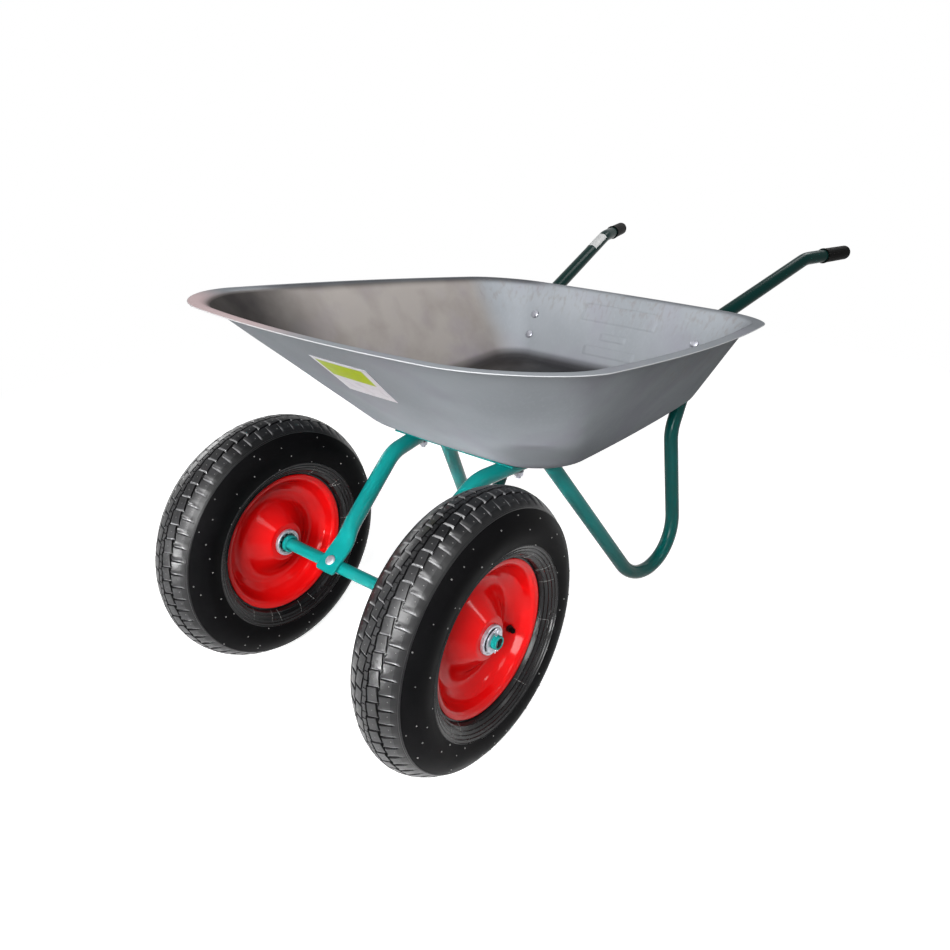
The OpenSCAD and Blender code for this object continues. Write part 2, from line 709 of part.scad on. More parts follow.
module both_ends() {
    translate([0, 0, bearing_z]) children();
    translate([0, 0, -bearing_z - bearing_w]) children();
}

module race(inner, outer) {
    rotate_extrude()
        difference() {
            translate([inner, 0]) square([outer - inner, bearing_w]);
            translate([pitch_r(), bearing_w / 2]) circle(r = ball_d / 2 + fit_gap);
        }
}

module bearing_outer_rings() {
    color("silver") both_ends() race(bearing_d / 2 - ring_t, bearing_d / 2);
}

module bearing_inner_rings() {
    color("silver") both_ends() race(axle_r + fit_gap, axle_r + fit_gap + ring_t);
}

module bearing_balls() {
    color("silver")
        both_ends()
            for (i = [0:ball_count - 1])
                rotate([0, 0, 360 * i / ball_count])
                    translate([pitch_r(), 0, bearing_w / 2]) sphere(r = ball_d / 2);
}

module valve_stem() {
    color("black") {
        at_valve() translate([0, 0, -valve_back]) {
            cylinder(h = valve_back + valve_len, r = valve_d / 2);
            sphere(r = valve_d / 2 * bulb_share);
        }
        rotate([0, 0, 180 + valve_turn]) translate([valve_bend_r, 0, 0]) rotate([0, 90, 0])
            cylinder(h = neck_r - seat_gap - valve_bend_r, r = valve_d / 2 * root_share);
    }
}

module valve_cap() {
    color("dimgray")
        at_valve() translate([0, 0, valve_len]) cylinder(h = cap_len, r = cap_d / 2);
}

module inner_collar() {
    color("silver")
        translate([0, 0, -half_hub - run_gap - collar_len])
            ring(hub_washer_d / 2, axle_r + fit_gap, collar_len);
}

module outer_washer() {
    color("silver") translate([0, 0, washer_z]) ring(hub_washer_d / 2, axle_r + fit_gap, hub_washer_t);
}

// Split pin through the axle, with a ring for its head
pin_stand = 6;
module split_pin() {
    color("silver")
        translate([0, 0, pin_z]) rotate([90, 0, 0]) {
            translate([0, 0, -axle_r - pin_stand]) cylinder(h = axle_d + 2 * pin_stand, r = pin_d / 2);
            translate([0, 0, axle_r + pin_stand + pin_d / 2]) rotate([90, 0, 0])
                rotate_extrude() translate([pin_d, 0]) circle(r = pin_d / 2 - fit_gap);
        }
}

module left_tyre() { on_wheel(1) tyre(); }
module right_tyre() { on_wheel(-1) tyre(); }
module left_inner_tube() { on_wheel(1) inner_tube(); }
module right_inner_tube() { on_wheel(-1) inner_tube(); }
module left_outer_half_rim() { on_wheel(1) half_rim(true); }
module right_outer_half_rim() { on_wheel(-1) half_rim(true); }
module left_inner_half_rim() { on_wheel(1) mirror([0, 0, 1]) half_rim(false); }
module right_inner_half_rim() { on_wheel(-1) mirror([0, 0, 1]) half_rim(false); }
module left_hub_sleeve() { on_wheel(1) hub_sleeve(); }
module right_hub_sleeve() { on_wheel(-1) hub_sleeve(); }
module left_bearing_outer_rings() { on_wheel(1) bearing_outer_rings(); }
module right_bearing_outer_rings() { on_wheel(-1) bearing_outer_rings(); }
module left_bearing_inner_rings() { on_wheel(1) bearing_inner_rings(); }
module right_bearing_inner_rings() { on_wheel(-1) bearing_inner_rings(); }
module left_bearing_balls() { on_wheel(1) bearing_balls(); }
module right_bearing_balls() { on_wheel(-1) bearing_balls(); }
module left_valve_stem() { on_wheel(1) valve_stem(); }
module right_valve_stem() { on_wheel(-1) valve_stem(); }
module left_valve_cap() { on_wheel(1) valve_cap(); }
module right_valve_cap() { on_wheel(-1) valve_cap(); }
module left_inner_collar() { on_wheel(1) inner_collar(); }
module right_inner_collar() { on_wheel(-1) inner_collar(); }
module left_outer_washer() { on_wheel(1) outer_washer(); }
module right_outer_washer() { on_wheel(-1) outer_washer(); }
module left_split_pin() { on_wheel(1) split_pin(); }
module right_split_pin() { on_wheel(-1) split_pin(); }

tray();
cross_strip();
left_frame_tube();
right_frame_tube();
left_grip();
right_grip();
axle();
axle_bolts();
axle_washers();
axle_nuts();
floor_bolts();
floor_washers();
floor_nuts();
back_bolts();
back_washers();
back_nuts();
left_tyre();
left_inner_tube();
left_outer_half_rim();
left_inner_half_rim();
left_hub_sleeve();
left_bearing_outer_rings();
left_bearing_inner_rings();
left_bearing_balls();
left_valve_stem();
left_valve_cap();
left_inner_collar();
left_outer_washer();
left_split_pin();
right_tyre();
right_inner_tube();
right_outer_half_rim();
right_inner_half_rim();
right_hub_sleeve();
right_bearing_outer_rings();
right_bearing_inner_rings();
right_bearing_balls();
right_valve_stem();
right_valve_cap();
right_inner_collar();
right_outer_washer();
right_split_pin();
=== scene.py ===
import bpy
import numpy as np
from mathutils import Matrix, Vector


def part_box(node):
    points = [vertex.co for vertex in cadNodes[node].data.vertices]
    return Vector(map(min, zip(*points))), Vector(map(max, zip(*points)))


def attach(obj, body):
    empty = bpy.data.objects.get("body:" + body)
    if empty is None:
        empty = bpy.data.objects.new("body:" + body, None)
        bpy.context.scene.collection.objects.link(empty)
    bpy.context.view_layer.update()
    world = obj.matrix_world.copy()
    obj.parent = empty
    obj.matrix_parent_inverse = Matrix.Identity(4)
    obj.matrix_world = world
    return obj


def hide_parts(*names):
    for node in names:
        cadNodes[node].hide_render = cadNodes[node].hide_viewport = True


# Two wheel wheelbarrow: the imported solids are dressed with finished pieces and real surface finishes.
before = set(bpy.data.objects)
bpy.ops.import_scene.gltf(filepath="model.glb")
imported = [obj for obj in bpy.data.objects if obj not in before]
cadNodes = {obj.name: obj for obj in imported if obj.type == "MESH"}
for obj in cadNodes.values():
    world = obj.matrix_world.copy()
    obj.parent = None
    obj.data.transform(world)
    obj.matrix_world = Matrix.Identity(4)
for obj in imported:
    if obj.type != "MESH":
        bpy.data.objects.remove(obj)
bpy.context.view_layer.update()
axleLow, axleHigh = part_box("axle")
axleX = 500 * (axleLow.x + axleHigh.x)  # the axle's middle, in millimetres like every size below
axleZ = 500 * (axleLow.z + axleHigh.z)
mm = 0.001
print("frame loaded:", len(cadNodes), "solids, axle at", round(axleX, 2), round(axleZ, 2))


# camera and studio first

photoView = dict(ahead=680.44, left=739.81, height=856.66, looks=(-0.7106, -0.5511, -0.4374),
                 lens=29.85, sensor=36.0)
studio = dict(ambient=0.10, floorSeen="#E4E4E4", floorBounce="#727270", floorGlow=0.74,
              floorReach=30.0, fadeNear=0.95, fadeFar=1.9,
              softboxes=[  # name, place, aimed at, width, height, watts, spread in degrees
                  ("highFrontBox", (2.30, 0.80, 1.35), (0.3, 0.0, 0.3), 1.0, 1.0, 69.0, 180),
                  ("lowFrontBank", (3.0, -1.55, 0.50), (0.2, 0.0, 0.3), 1.6, 0.9, 11.0, 180),
                  ("lowGrid", (2.3, 0.15, 0.16), (0.6, 0.0, 0.17), 1.0, 0.12, 1.5, 24),
                  ("sideBox", (1.0, 1.45, 1.80), (0.45, 0.1, 0.25), 0.6, 0.6, 8.0, 180),
                  ("sideWindow", (-0.26, 1.90, 1.25), (0.54, 0.2, 0.2), 0.20, 0.45, 4.5, 180),
                  ("rightFill", (0.2, -2.6, 1.1), (0.0, 0.0, 0.3), 1.2, 0.9, 17.0, 180),
                  ("rearFill", (-2.4, 0.1, 1.9), (-0.4, 0.0, 0.4), 0.8, 0.8, 18.0, 180)])


def linear(hexColour):  # sRGB hex to the linear value that a socket takes
    srgb = np.array([int(hexColour[i:i + 2], 16) for i in (1, 3, 5)]) / 255
    return (*np.where(srgb <= 0.04045, srgb / 12.92, ((srgb + 0.055) / 1.055) ** 2.4), 1.0)


def addNode(tree, kind, settings=None, links=None):  # one node, with its settings and its incoming links
    node = tree.nodes.new("ShaderNode" + kind)
    for key, value in (settings or {}).items():
        if key == "ramp":
            for stop, (place, colour) in zip(node.color_ramp.elements, value):
                stop.position = place
                stop.color = linear(colour)
        elif isinstance(key, int) or key in node.inputs:
            node.inputs[key].default_value = value
        else:
            setattr(node, key, value)
    for key, source in (links or {}).items():
        tree.links.new(source, node.inputs[key])
    return node


def perMm(size):  # scale of a pattern whose features are this many millimetres across
    return 1000.0 / size


scene = bpy.context.scene
scene.view_settings.view_transform = "Standard"
cameraData = bpy.data.cameras.new("photoCamera")
cameraData.lens = photoView["lens"]
cameraData.sensor_width = photoView["sensor"]
cameraData.sensor_fit = "HORIZONTAL"
cameraData.clip_end = 50
camera = bpy.data.objects.new("photoCamera", cameraData)
cameraPlace = Vector((axleX + photoView["ahead"], photoView["left"], photoView["height"])) * mm
camera.matrix_world = (Matrix.Translation(cameraPlace)
                       @ Vector(photoView["looks"]).to_track_quat("-Z", "Y").to_matrix().to_4x4())
scene.collection.objects.link(camera)
scene.camera = camera

for name, place, aim, width, height, watts, spread in studio["softboxes"]:
    lamp = bpy.data.lights.new(name, "AREA")
    lamp.shape, lamp.size, lamp.size_y, lamp.energy = "RECTANGLE", width, height, watts
    lamp.spread = np.radians(spread)
    holder = bpy.data.objects.new(name, lamp)
    holder.matrix_world = (Matrix.Translation(place)
                           @ (Vector(aim) - Vector(place)).to_track_quat("-Z", "Y").to_matrix().to_4x4())
    scene.collection.objects.link(holder)


def backdropRays(tree):  # one for rays that should meet the white backdrop, nought for those that carry light
    rays = addNode(tree, "LightPath")
    seen = addNode(tree, "Math", {"operation": "MAXIMUM"},
                   {0: rays.outputs["Is Camera Ray"], 1: rays.outputs["Is Glossy Ray"]})
    return addNode(tree, "Math", {"operation": "MAXIMUM"},
                   {0: seen.outputs[0], 1: rays.outputs["Is Transmission Ray"]}).outputs[0]


# white backdrop for the camera and for reflections, plain grey fill for diffuse light
scene.world = bpy.data.worlds.new("studioWhite")
scene.world.use_nodes = True
tree = scene.world.node_tree
tree.nodes.clear()
level = addNode(tree, "MapRange", {"To Min": studio["ambient"], "To Max": 1.0}, {"Value": backdropRays(tree)})
sky = addNode(tree, "Background", {"Color": (1, 1, 1, 1)}, {"Strength": level.outputs[0]})
addNode(tree, "OutputWorld", links={"Surface": sky.outputs[0]})


# shapes as whole arrays

def unit(v):
    v = np.asarray(v, float)
    return v / np.linalg.norm(v, axis=-1, keepdims=True)


def mix(a, b, k):
    return a + (b - a) * k


def smooth(t):
    t = np.clip(t, 0, 1)
    return t * t * (3 - 2 * t)


def grid(points, closeU=True, closeV=False, caps=False):
    # quads between neighbours of a grid of points; caps close the first and last line of v with a fan
    # round its middle; all turned to face outwards by the sign of the volume
    nu, nv = points.shape[:2]
    ids = np.arange(nu * nv).reshape(nu, nv)
    ids = np.vstack([ids, ids[:1]]) if closeU else ids
    ids = np.hstack([ids, ids[:, :1]]) if closeV else ids
    quads = np.stack([ids[:-1, :-1], ids[1:, :-1], ids[1:, 1:], ids[:-1, 1:]], -1).reshape(-1, 4)
    verts = points.reshape(-1, 3)
    fans = [np.zeros((0, 3), int)]
    for column, flip in ((0, -1), (-1, 1)) if caps else ():
        ring = ids[:, column]
        hub = np.full(len(ring) - 1, len(verts))
        fans.append(np.stack([ring[:-1], ring[1:], hub], -1)[:, ::flip])
        verts = np.vstack([verts, points[:, column].mean(0)])
    tris = np.vstack(fans)
    a, b, c = (verts[np.vstack([quads[:, [0, 1, 2]], quads[:, [0, 2, 3]], tris])[:, k]] for k in range(3))
    turn = -1 if (a * np.cross(b, c)).sum() < 0 else 1
    return verts, quads[:, ::turn], tris[:, ::turn]


def capped(points):  # a tube of points with both ends closed
    return grid(points, caps=True)


def looped(points):  # a ring of points closed both ways
    return grid(points, closeV=True)


def folded(sheet):  # a two sided sheet whose open ends are closed by folding them onto their middles
    first, last = ((end + end[:, ::-1]) / 2 for end in (sheet[:1], sheet[-1:]))
    return grid(np.concatenate([first, sheet, last]), closeU=False, closeV=True)


def join(parts):  # several meshes as one, their indices moved up
    starts = np.cumsum([0] + [len(p[0]) for p in parts])
    return (np.vstack([p[0] for p in parts]),
            np.vstack([p[1] + s for p, s in zip(parts, starts)]),
            np.vstack([p[2] + s for p, s in zip(parts, starts)]))


def makePiece(name, part, finish, body, stands=(), sharp=35.0, marks=None, faceFinish=None):
    # a mesh object at the origin, smooth but for edges sharper than the given angle
    verts, quads, tris = part
    mesh = bpy.data.meshes.new(name)
    mesh.from_pydata((verts * mm).tolist(), [], quads.tolist() + tris.tolist())
    mesh.polygons.foreach_set("use_smooth", np.ones(len(mesh.polygons), bool))
    mesh.set_sharp_from_angle(angle=np.radians(sharp))
    for label, values in (marks or {}).items():
        mesh.attributes.new(label, "FLOAT", "POINT").data.foreach_set("value", values.astype(np.float32))
    for each in finish if isinstance(finish, list) else [finish]:
        mesh.materials.append(each)
    if faceFinish is not None:
        mesh.polygons.foreach_set("material_index", faceFinish.astype(np.int32))
    mesh.update()
    piece = bpy.data.objects.new(name, mesh)
    scene.collection.objects.link(piece)
    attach(piece, body)
    if stands:
        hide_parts(*stands)
    return piece


def around(count):  # even angles round a circle, as a column
    return np.linspace(0, 2 * np.pi, count, endpoint=False)[:, None]


def spun(r, h, a):  # radii and heights carried round the Z axis by the given angles
    return np.stack([r * np.cos(a), r * np.sin(a), h + 0 * a], -1)


def turned(profile, sides):  # a profile of (radius, height) carried round the Z axis
    return spun(*np.asarray(profile, float).T, around(sides))


def placed(points, origin, axis, across=(0.0, 1.0, 0.0)):
    # stands points so that Z runs along the axis and X along across, as far as that is square to it
    z = unit(axis)
    x = unit(np.asarray(across) - np.dot(across, z) * z)
    return np.asarray(origin) + points @ np.stack([x, np.cross(z, x), z])


def rounded(line, radii, steps=8):
    # a line of points whose inner corners become arcs of the given radii
    p = np.asarray(line, float)
    out = [p[:1]]
    for a, b, c, r in zip(p[:-2], p[1:-1], p[2:], radii):
        d, e = unit(b - a), unit(c - b)
        turn = np.arccos(np.clip(d @ e, -1, 1))
        if r <= 0 or turn < 1e-4:
            out.append(b[None])
            continue
        m = unit(e - (e @ d) * d)
        q = turn * np.linspace(0, 1, steps + 1)[:, None]
        out.append(b - r * np.tan(turn / 2) * d + r * (np.sin(q) * d + (1 - np.cos(q)) * m))
    return np.vstack(out + [p[-1:]])


def lengthAlong(line):  # distance from the start of a line to each of its points
    return np.concatenate([[0], np.cumsum(np.hypot(*np.diff(line, axis=0).T))])


def filledIn(line, count):  # the two columns of a line's own points with even ones between them
    along = lengthAlong(line)
    at = np.unique(np.concatenate([np.linspace(0, along[-1], count), along]))
    return [np.interp(at, along, column) for column in line.T]


# finishes

def newFinish(name):
    finish = bpy.data.materials.new(name)
    finish.use_nodes = True
    tree = finish.node_tree
    tree.nodes.clear()
    shader = addNode(tree, "BsdfPrincipled")
    addNode(tree, "OutputMaterial", links={"Surface": shader.outputs[0]})
    return finish, tree, shader, addNode(tree, "TexCoord").outputs["Object"]


def blendIn(tree, base, colour, *factors):
    # lays a colour over the base by the product of its factors: marks on the mesh by name, sockets, numbers
    fac, *others = (addNode(tree, "Attribute", {"attribute_name": each}).outputs["Fac"]
                    if isinstance(each, str) else each for each in factors)
    for each in others:
        number, link = ({1: each}, {}) if isinstance(each, float) else ({}, {1: each})
        fac = addNode(tree, "Math", {"operation": "MULTIPLY", **number}, {0: fac, **link}).outputs[0]
    return addNode(tree, "Mix", {"data_type": "RGBA", 7: linear(colour)}, {0: fac, 6: base}).outputs[2]


def settle(tree, shader, base, roughFrom, roughness, grainFrom, grain, specular=0.5, metallic=0.0):
    # colour, roughness and bump reach the shader; what is the same all over stays on its own sockets
    rough = addNode(tree, "MapRange", {"From Min": 0.3, "From Max": 0.7, "To Min": roughness[0],
                                       "To Max": roughness[1]}, {"Value": roughFrom})
    bump = addNode(tree, "Bump", {"Strength": grain[0], "Distance": grain[1]}, {"Height": grainFrom})
    for socket, source in (("Base Color", base), ("Roughness", rough.outputs[0]),
                           ("Normal", bump.outputs[0])):
        tree.links.new(source, shader.inputs[socket])
    shader.inputs["Specular IOR Level"].default_value = specular
    shader.inputs["Metallic"].default_value = metallic


def galvanisedSheet():
    # zinc coated sheet, deep drawn: even satin grey in slow clouds, faint rolling lines and stains, a painted
    # warm reflection inside the right wall, painted shade in the nose, on the floor and on the outer sides, a
    # bright line along the cut edge
    look = dict(cool="#A1A6AC", pale="#ADB2B8", warm="#B0A8A2", stain="#918A85", oil="#2E2C2D",
                blush="#E4CACA", lilac="#9A92A4", edge="#C9CBCD")
    noises = dict(cloud=(170, 3.0, 0.0), line=(5, 2.0, 0.0), blot=(70, 4.0, 0.2), film=(90, 4.0, 0.0),
                  drip=(9, 2.0, 0.0), grain=(1.5, 2.0, 0.0))  # size in millimetres, detail, distortion
    ends = ("From Min", "From Max", "To Min", "To Max")
    # a colour, then what thins it: a noise with the range it is read over, a mark on the sheet, a share
    washes = [("pale", ("line", 0.5, 0.8, 0.0, 1.0), 0.55),
              # painted light: a warm reflected tint on the inside of the right wall; the stains below use the
              # same zone
              ("warm", "warmth", 0.85),
              ("stain", ("blot", 0.42, 0.80, 0.0, 0.7), "warmth"),
              ("lilac", ("film", 0.5, 0.75, 0.0, 0.35)),
              # painted shade: near black in the nose, on the floor, under the right brow and on the outer
              # sides
              ("oil", ("film", 0.25, 0.6, 0.85, 1.0), "oil"),
              ("stain", ("drip", 0.50, 0.72, 0.0, 0.45), "drip"),
              ("blush", "blush", 0.8),
              ("edge", "edge", 0.8)]
    finish, tree, shader, place = newFinish("galvanisedSheet")
    drawn = addNode(tree, "Mapping", {"Scale": (1.0, 1.0, 0.04)}, {"Vector": place}).outputs[0]
    noise = {name: addNode(tree, "TexNoise", {"Scale": perMm(size), "Detail": detail, "Distortion": bent},
                           {"Vector": drawn if name in ("line", "drip") else place}).outputs[0]
             for name, (size, detail, bent) in noises.items()}
    base = addNode(tree, "ValToRGB", {"ramp": [(0.36, look["cool"]), (0.64, look["pale"])]},
                   {0: noise["cloud"]}).outputs[0]
    for colour, *factors in washes:
        base = blendIn(tree, base, look[colour], *(
            addNode(tree, "MapRange", dict(zip(ends, each[1:])), {"Value": noise[each[0]]}).outputs[0]
            if isinstance(each, tuple) else each for each in factors))
    settle(tree, shader, base, noise["blot"], (0.36, 0.50), noise["grain"], (0.05, 0.0003), 0.0, 0.05)
    return finish


def enamel(name, deep, bright, worn, shadeColour, roughness, specular, wearAt):
    # sprayed and baked enamel: even colour, slight orange peel, chipped where it is knocked, darkened by a
    # painted shade colour where the mesh marks it
    finish, tree, shader, place = newFinish(name)
    cloud, chip, dull, peel = (  # each pattern's size in millimetres, its detail and its roughness
        addNode(tree, "TexNoise", {"Scale": perMm(size), "Detail": detail, "Roughness": fine},
                {"Vector": place}).outputs[0]
        for size, detail, fine in ((90, 2.0, 0.5), (5, 5.0, 0.7), (35, 4.0, 0.5), (2.5, 1.0, 0.5)))
    base = addNode(tree, "ValToRGB", {"ramp": [(0.35, deep), (0.65, bright)]}, {0: cloud}).outputs[0]
    chipped = addNode(tree, "MapRange", {"From Min": wearAt, "From Max": wearAt + 0.04}, {"Value": chip})
    # painted shade: the shade colour laid over the enamel where the mesh's shade mark says
    base = blendIn(tree, blendIn(tree, base, worn, chipped.outputs[0]), shadeColour, "paintedRearShade")
    settle(tree, shader, base, dull, (roughness, roughness + 0.08), peel, (0.05, 0.0002), specular)
    return finish


def rubber(name, black, dust, roughness, grain, specular):
    # moulded rubber: black with a fine grain and a thin cloud of dust, painted shade deep black in the
    # grooves, painted pale glints on the edges of ramps and slits
    finish, tree, shader, place = newFinish(name)
    # the two patterns' sizes in millimetres, their detail and their roughness
    cloud, fine = (addNode(tree, "TexNoise", {"Scale": perMm(size), "Detail": detail, "Roughness": rough},
                           {"Vector": place}).outputs[0]
                   for size, detail, rough in ((45, 5.0, 0.6), (grain, 3.0, 0.5)))
    base = addNode(tree, "ValToRGB", {"ramp": [(0.3, black), (0.75, dust)]}, {0: cloud}).outputs[0]
    # painted shade near black in the marked grooves, then painted pale glints on the marked ramp and slit
    # edges
    base = blendIn(tree, blendIn(tree, base, "#050505", "cut"), "#A4A4A6", "scuffAndGlint")
    settle(tree, shader, base, cloud, (roughness, roughness + 0.12), fine, (0.18, 0.0004), specular)
    return finish


def plated(name, bright, dark, roughness, metal):
    # plated steel: bright metal with a cloudy film and fine scratches
    finish, tree, shader, place = newFinish(name)
    # the two patterns' sizes in millimetres and their detail
    film, scratch = (addNode(tree, "TexNoise", {"Scale": perMm(size), "Detail": detail},
                             {"Vector": place}).outputs[0]
                     for size, detail in ((6, 4.0), (0.8, 2.0)))
    base = addNode(tree, "ValToRGB", {"ramp": [(0.3, dark), (0.7, bright)]}, {0: film}).outputs[0]
    settle(tree, shader, base, film, (roughness, roughness + 0.16), scratch, (0.08, 0.0002), metallic=metal)
    return finish


def labelFilm(name, ground, field, roughness):
    # coated label film: flat white ground, one plain colour field, light scuffs and small creases
    finish, tree, shader, place = newFinish(name)
    scuffAndGlint = addNode(tree, "TexNoise", {"Scale": perMm(14), "Detail": 2.0, "Distortion": 0.6},
                    {"Vector": place}).outputs[0]
    scuffed = addNode(tree, "MapRange", {"From Min": 0.48, "From Max": 0.75, "To Max": 0.3}, {"Value": scuffAndGlint})
    printed = addNode(tree, "Attribute", {"attribute_name": "field"})
    base = addNode(tree, "Mix", {"data_type": "RGBA", 6: linear(ground), 7: linear(field)},
                   {0: printed.outputs["Fac"]}).outputs[2]
    base = blendIn(tree, base, "#B9B5BE", scuffed.outputs[0])
    settle(tree, shader, base, scuffAndGlint, (roughness, roughness + 0.2), scuffAndGlint, (0.04, 0.0003), 0.3)
    return finish


galvanised = galvanisedSheet()
tealEnamel = enamel("tealEnamel", "#0B7774", "#0F8582", "#2D6C69", "#04302C", 0.13, 0.12, 0.75)
# a shaded copy of the teal enamel for the handles: a darker shade colour and less reflection keep them dark
shadedHandleEnamel = enamel("shadedHandleTealEnamel", "#0B7774", "#0F8582", "#2D6C69", "#032622", 0.17, 0.022, 0.77)
redEnamel = enamel("redEnamel", "#CC0A0C", "#DC0E0F", "#A00A0C", "#5A0808", 0.09, 0.12, 0.77)
wallRubber = rubber("tyreWallRubber", "#09090A", "#0E0E0F", 0.40, 1.6, 0.02)
treadRubber = rubber("tyreTreadRubber", "#0E0E0F", "#1A1A1C", 0.30, 1.6, 0.42)
shoulderRubber = rubber("tyreShoulderRubber", "#0D0D0E", "#171718", 0.30, 1.6, 0.26)
bandRubber = rubber("tyreBeadRubber", "#0C0C0D", "#131314", 0.22, 1.6, 0.22)
tubeRubber = rubber("tubeRubber", "#161616", "#202020", 0.55, 1.2, 0.3)
# painted glint: the nubs and seams are pale grey rubber so that they show as bright dots
glintNubRubber = rubber("mouldNubGlintRubber", "#5E5E5D", "#7C7C7A", 0.40, 0.8, 0.4)
valveRubber = rubber("valveRubber", "#0B0B0B", "#161616", 0.35, 0.9, 0.4)
gripVinyl = rubber("gripVinyl", "#0A0A09", "#111110", 0.34, 1.4, 0.01)
zincPlate = plated("zincPlatedSteel", "#C4C5CE", "#8E9098", 0.26, 0.6)
bareSteel = plated("bareDarkSteel", "#2A2826", "#1A1918", 0.45, 0.3)
bearingSteel = plated("bearingSteel", "#A9ABAD", "#75777A", 0.18, 1.0)
frontFilm = labelFilm("frontLabelFilm", "#F8F6FC", "#C6DC1C", 0.30)
handleFilm = labelFilm("handleLabelFilm", "#DEE0DF", "#DEE0DF", 0.45)
print("finishes made")


# tray: straight walls between a floor outline and a rim outline, blended into floor and flange

trayShape = dict(sheet=1.2, flange=22, rimFront=51, frontBow=46, rearBow=22, sideBow=32, rimHalfFront=330,
                 rimHalfRear=308, rimFrontR=128, rimRearR=98, rimH=584, rimTilt=7.4, floorFront=-209,
                 floorRear=-675.7, floorZ=343.5, floorHalfFront=196, floorHalfRear=214, floorFrontR=80,
                 floorRearR=48, rimRear=-758.3, floorBow=0.25, foot=0.10, brow=0.07, brim=0.3, cutRound=0.35,
                 steps=dict(front=22, corner=22, side=44, rear=62),
                 rows=dict(floor=9, foot=9, wall=92, brow=8), flangeAt=(0.35, 0.7, 0.92, 1.0),
                 pads=[(10, 448, 80, 15), (11, 408, 27, 6), (11, 381, 55, 8)], padRise=1.8, padEdge=2.4,
                 waveSlow=0.28, waveQuick=0.14)


def trayOutline(xf, xr, wf, wr, rf, rr, bf, br, bs):
    # front edge, round corner, side, round corner and rear edge of one half; edges bow out as a parabola;
    # then mirrored
    n = trayShape["steps"]
    t = np.linspace(0, 1, n["front"], endpoint=False)
    q = np.linspace(0, np.pi / 2, n["corner"] + 1)
    k = np.linspace(0, 1, n["side"] + 1)[1:-1]
    e = np.linspace(0, 1, n["rear"] + 1)[1:]
    x = np.concatenate([xf + 0 * t, xf - rf + rf * np.cos(q), mix(xf - rf, xr + rr, k),
                        xr + rr - rr * np.sin(q), xr + 0 * e])
    y = np.concatenate([(wf - rf) * t, wf - rf + rf * np.sin(q), mix(wf, wr, k),
                        wr - rr + rr * np.cos(q), (wr - rr) * (1 - e)])
    u = (x - (xf + xr) / 2) / ((xf - xr) / 2)
    s = y / max(wf, wr)
    x = x + (bf * np.clip(u, 0, None) ** 2 - br * np.clip(-u, 0, None) ** 2) * (1 - s * s)
    y = y + bs * (1 - u * u) * s
    return np.concatenate([np.stack([x, y], -1), np.stack([x, -y], -1)[-2:0:-1]])


def traySurface():
    # columns of the underside from the floor's middle to the rim, with the sheet's way up at each point
    p, n = trayShape, trayShape["rows"]
    slope = np.tan(np.radians(p["rimTilt"]))
    fl = p["flange"]
    edge = trayOutline(p["rimFront"], p["rimRear"], p["rimHalfFront"], p["rimHalfRear"], p["rimFrontR"],
                       p["rimRearR"], p["frontBow"], p["rearBow"], p["sideBow"])
    top = trayOutline(p["rimFront"] - fl, p["rimRear"] + fl, p["rimHalfFront"] - fl, p["rimHalfRear"] - fl,
                      p["rimFrontR"] - fl, p["rimRearR"] - fl, p["frontBow"], p["rearBow"], p["sideBow"])
    foot = trayOutline(p["floorFront"], p["floorRear"], p["floorHalfFront"], p["floorHalfRear"],
                       p["floorFrontR"], p["floorRearR"], p["frontBow"] * p["floorBow"], 0,
                       p["sideBow"] * p["floorBow"])
    f = np.column_stack([foot, 0 * foot[:, 0] + p["floorZ"]])[:, None]
    t = np.column_stack([top, p["rimH"] + slope * top[:, 0]])[:, None]
    e = np.column_stack([edge, p["rimH"] + slope * edge[:, 0]])[:, None]
    r = t - f
    flat = r * (1, 1, 0)

    def curve(a, b, c, steps, last=True):
        k = np.linspace(0, 1, steps + 1 if last else steps, endpoint=last)[None, :, None]
        return a * (1 - k) ** 2 + b * 2 * k * (1 - k) + c * k * k

    middle = np.array([[[mix(p["floorFront"], p["floorRear"], 0.5), 0, p["floorZ"]]]])
    f0, f1, t0, t1 = f - p["foot"] * flat, f + p["foot"] * r, t - p["brow"] * r, mix(t, e, p["brim"])
    k = np.linspace(0, 1, n["floor"], endpoint=False)[None, 1:, None]
    w = np.linspace(0, 1, n["wall"], endpoint=False)[None, :, None]
    g = np.array(p["flangeAt"])[None, :, None]
    rows = [mix(middle, f0, k), curve(f0, f, f1, n["foot"], False), mix(f1, t0, w),
            curve(t0, t, t1, n["brow"]), mix(t1, e, g)]
    count = [part.shape[1] for part in rows]
    under = np.concatenate(rows, 1) + (axleX, 0, 0)
    rise = np.concatenate([np.full(count[0], -0.1), np.linspace(0, 0.09, count[1]),
                           mix(p["foot"], 1 - p["brow"], w[0, :, 0]), np.linspace(1 - p["brow"], 1, count[3]),
                           1 + 0.1 * g[0, :, 0]])
    du = np.roll(under, -1, 0) - np.roll(under, 1, 0)
    dv = np.gradient(under, axis=1)
    up = unit(np.cross(dv, du))
    up[:, :n["floor"] - 1] = (0, 0, 1)
    up[:, -count[4] - 1:] = unit((-slope, 0, 1))
    up = np.where(up[..., 2:] < 0, -up, up)
    return under, up, rise


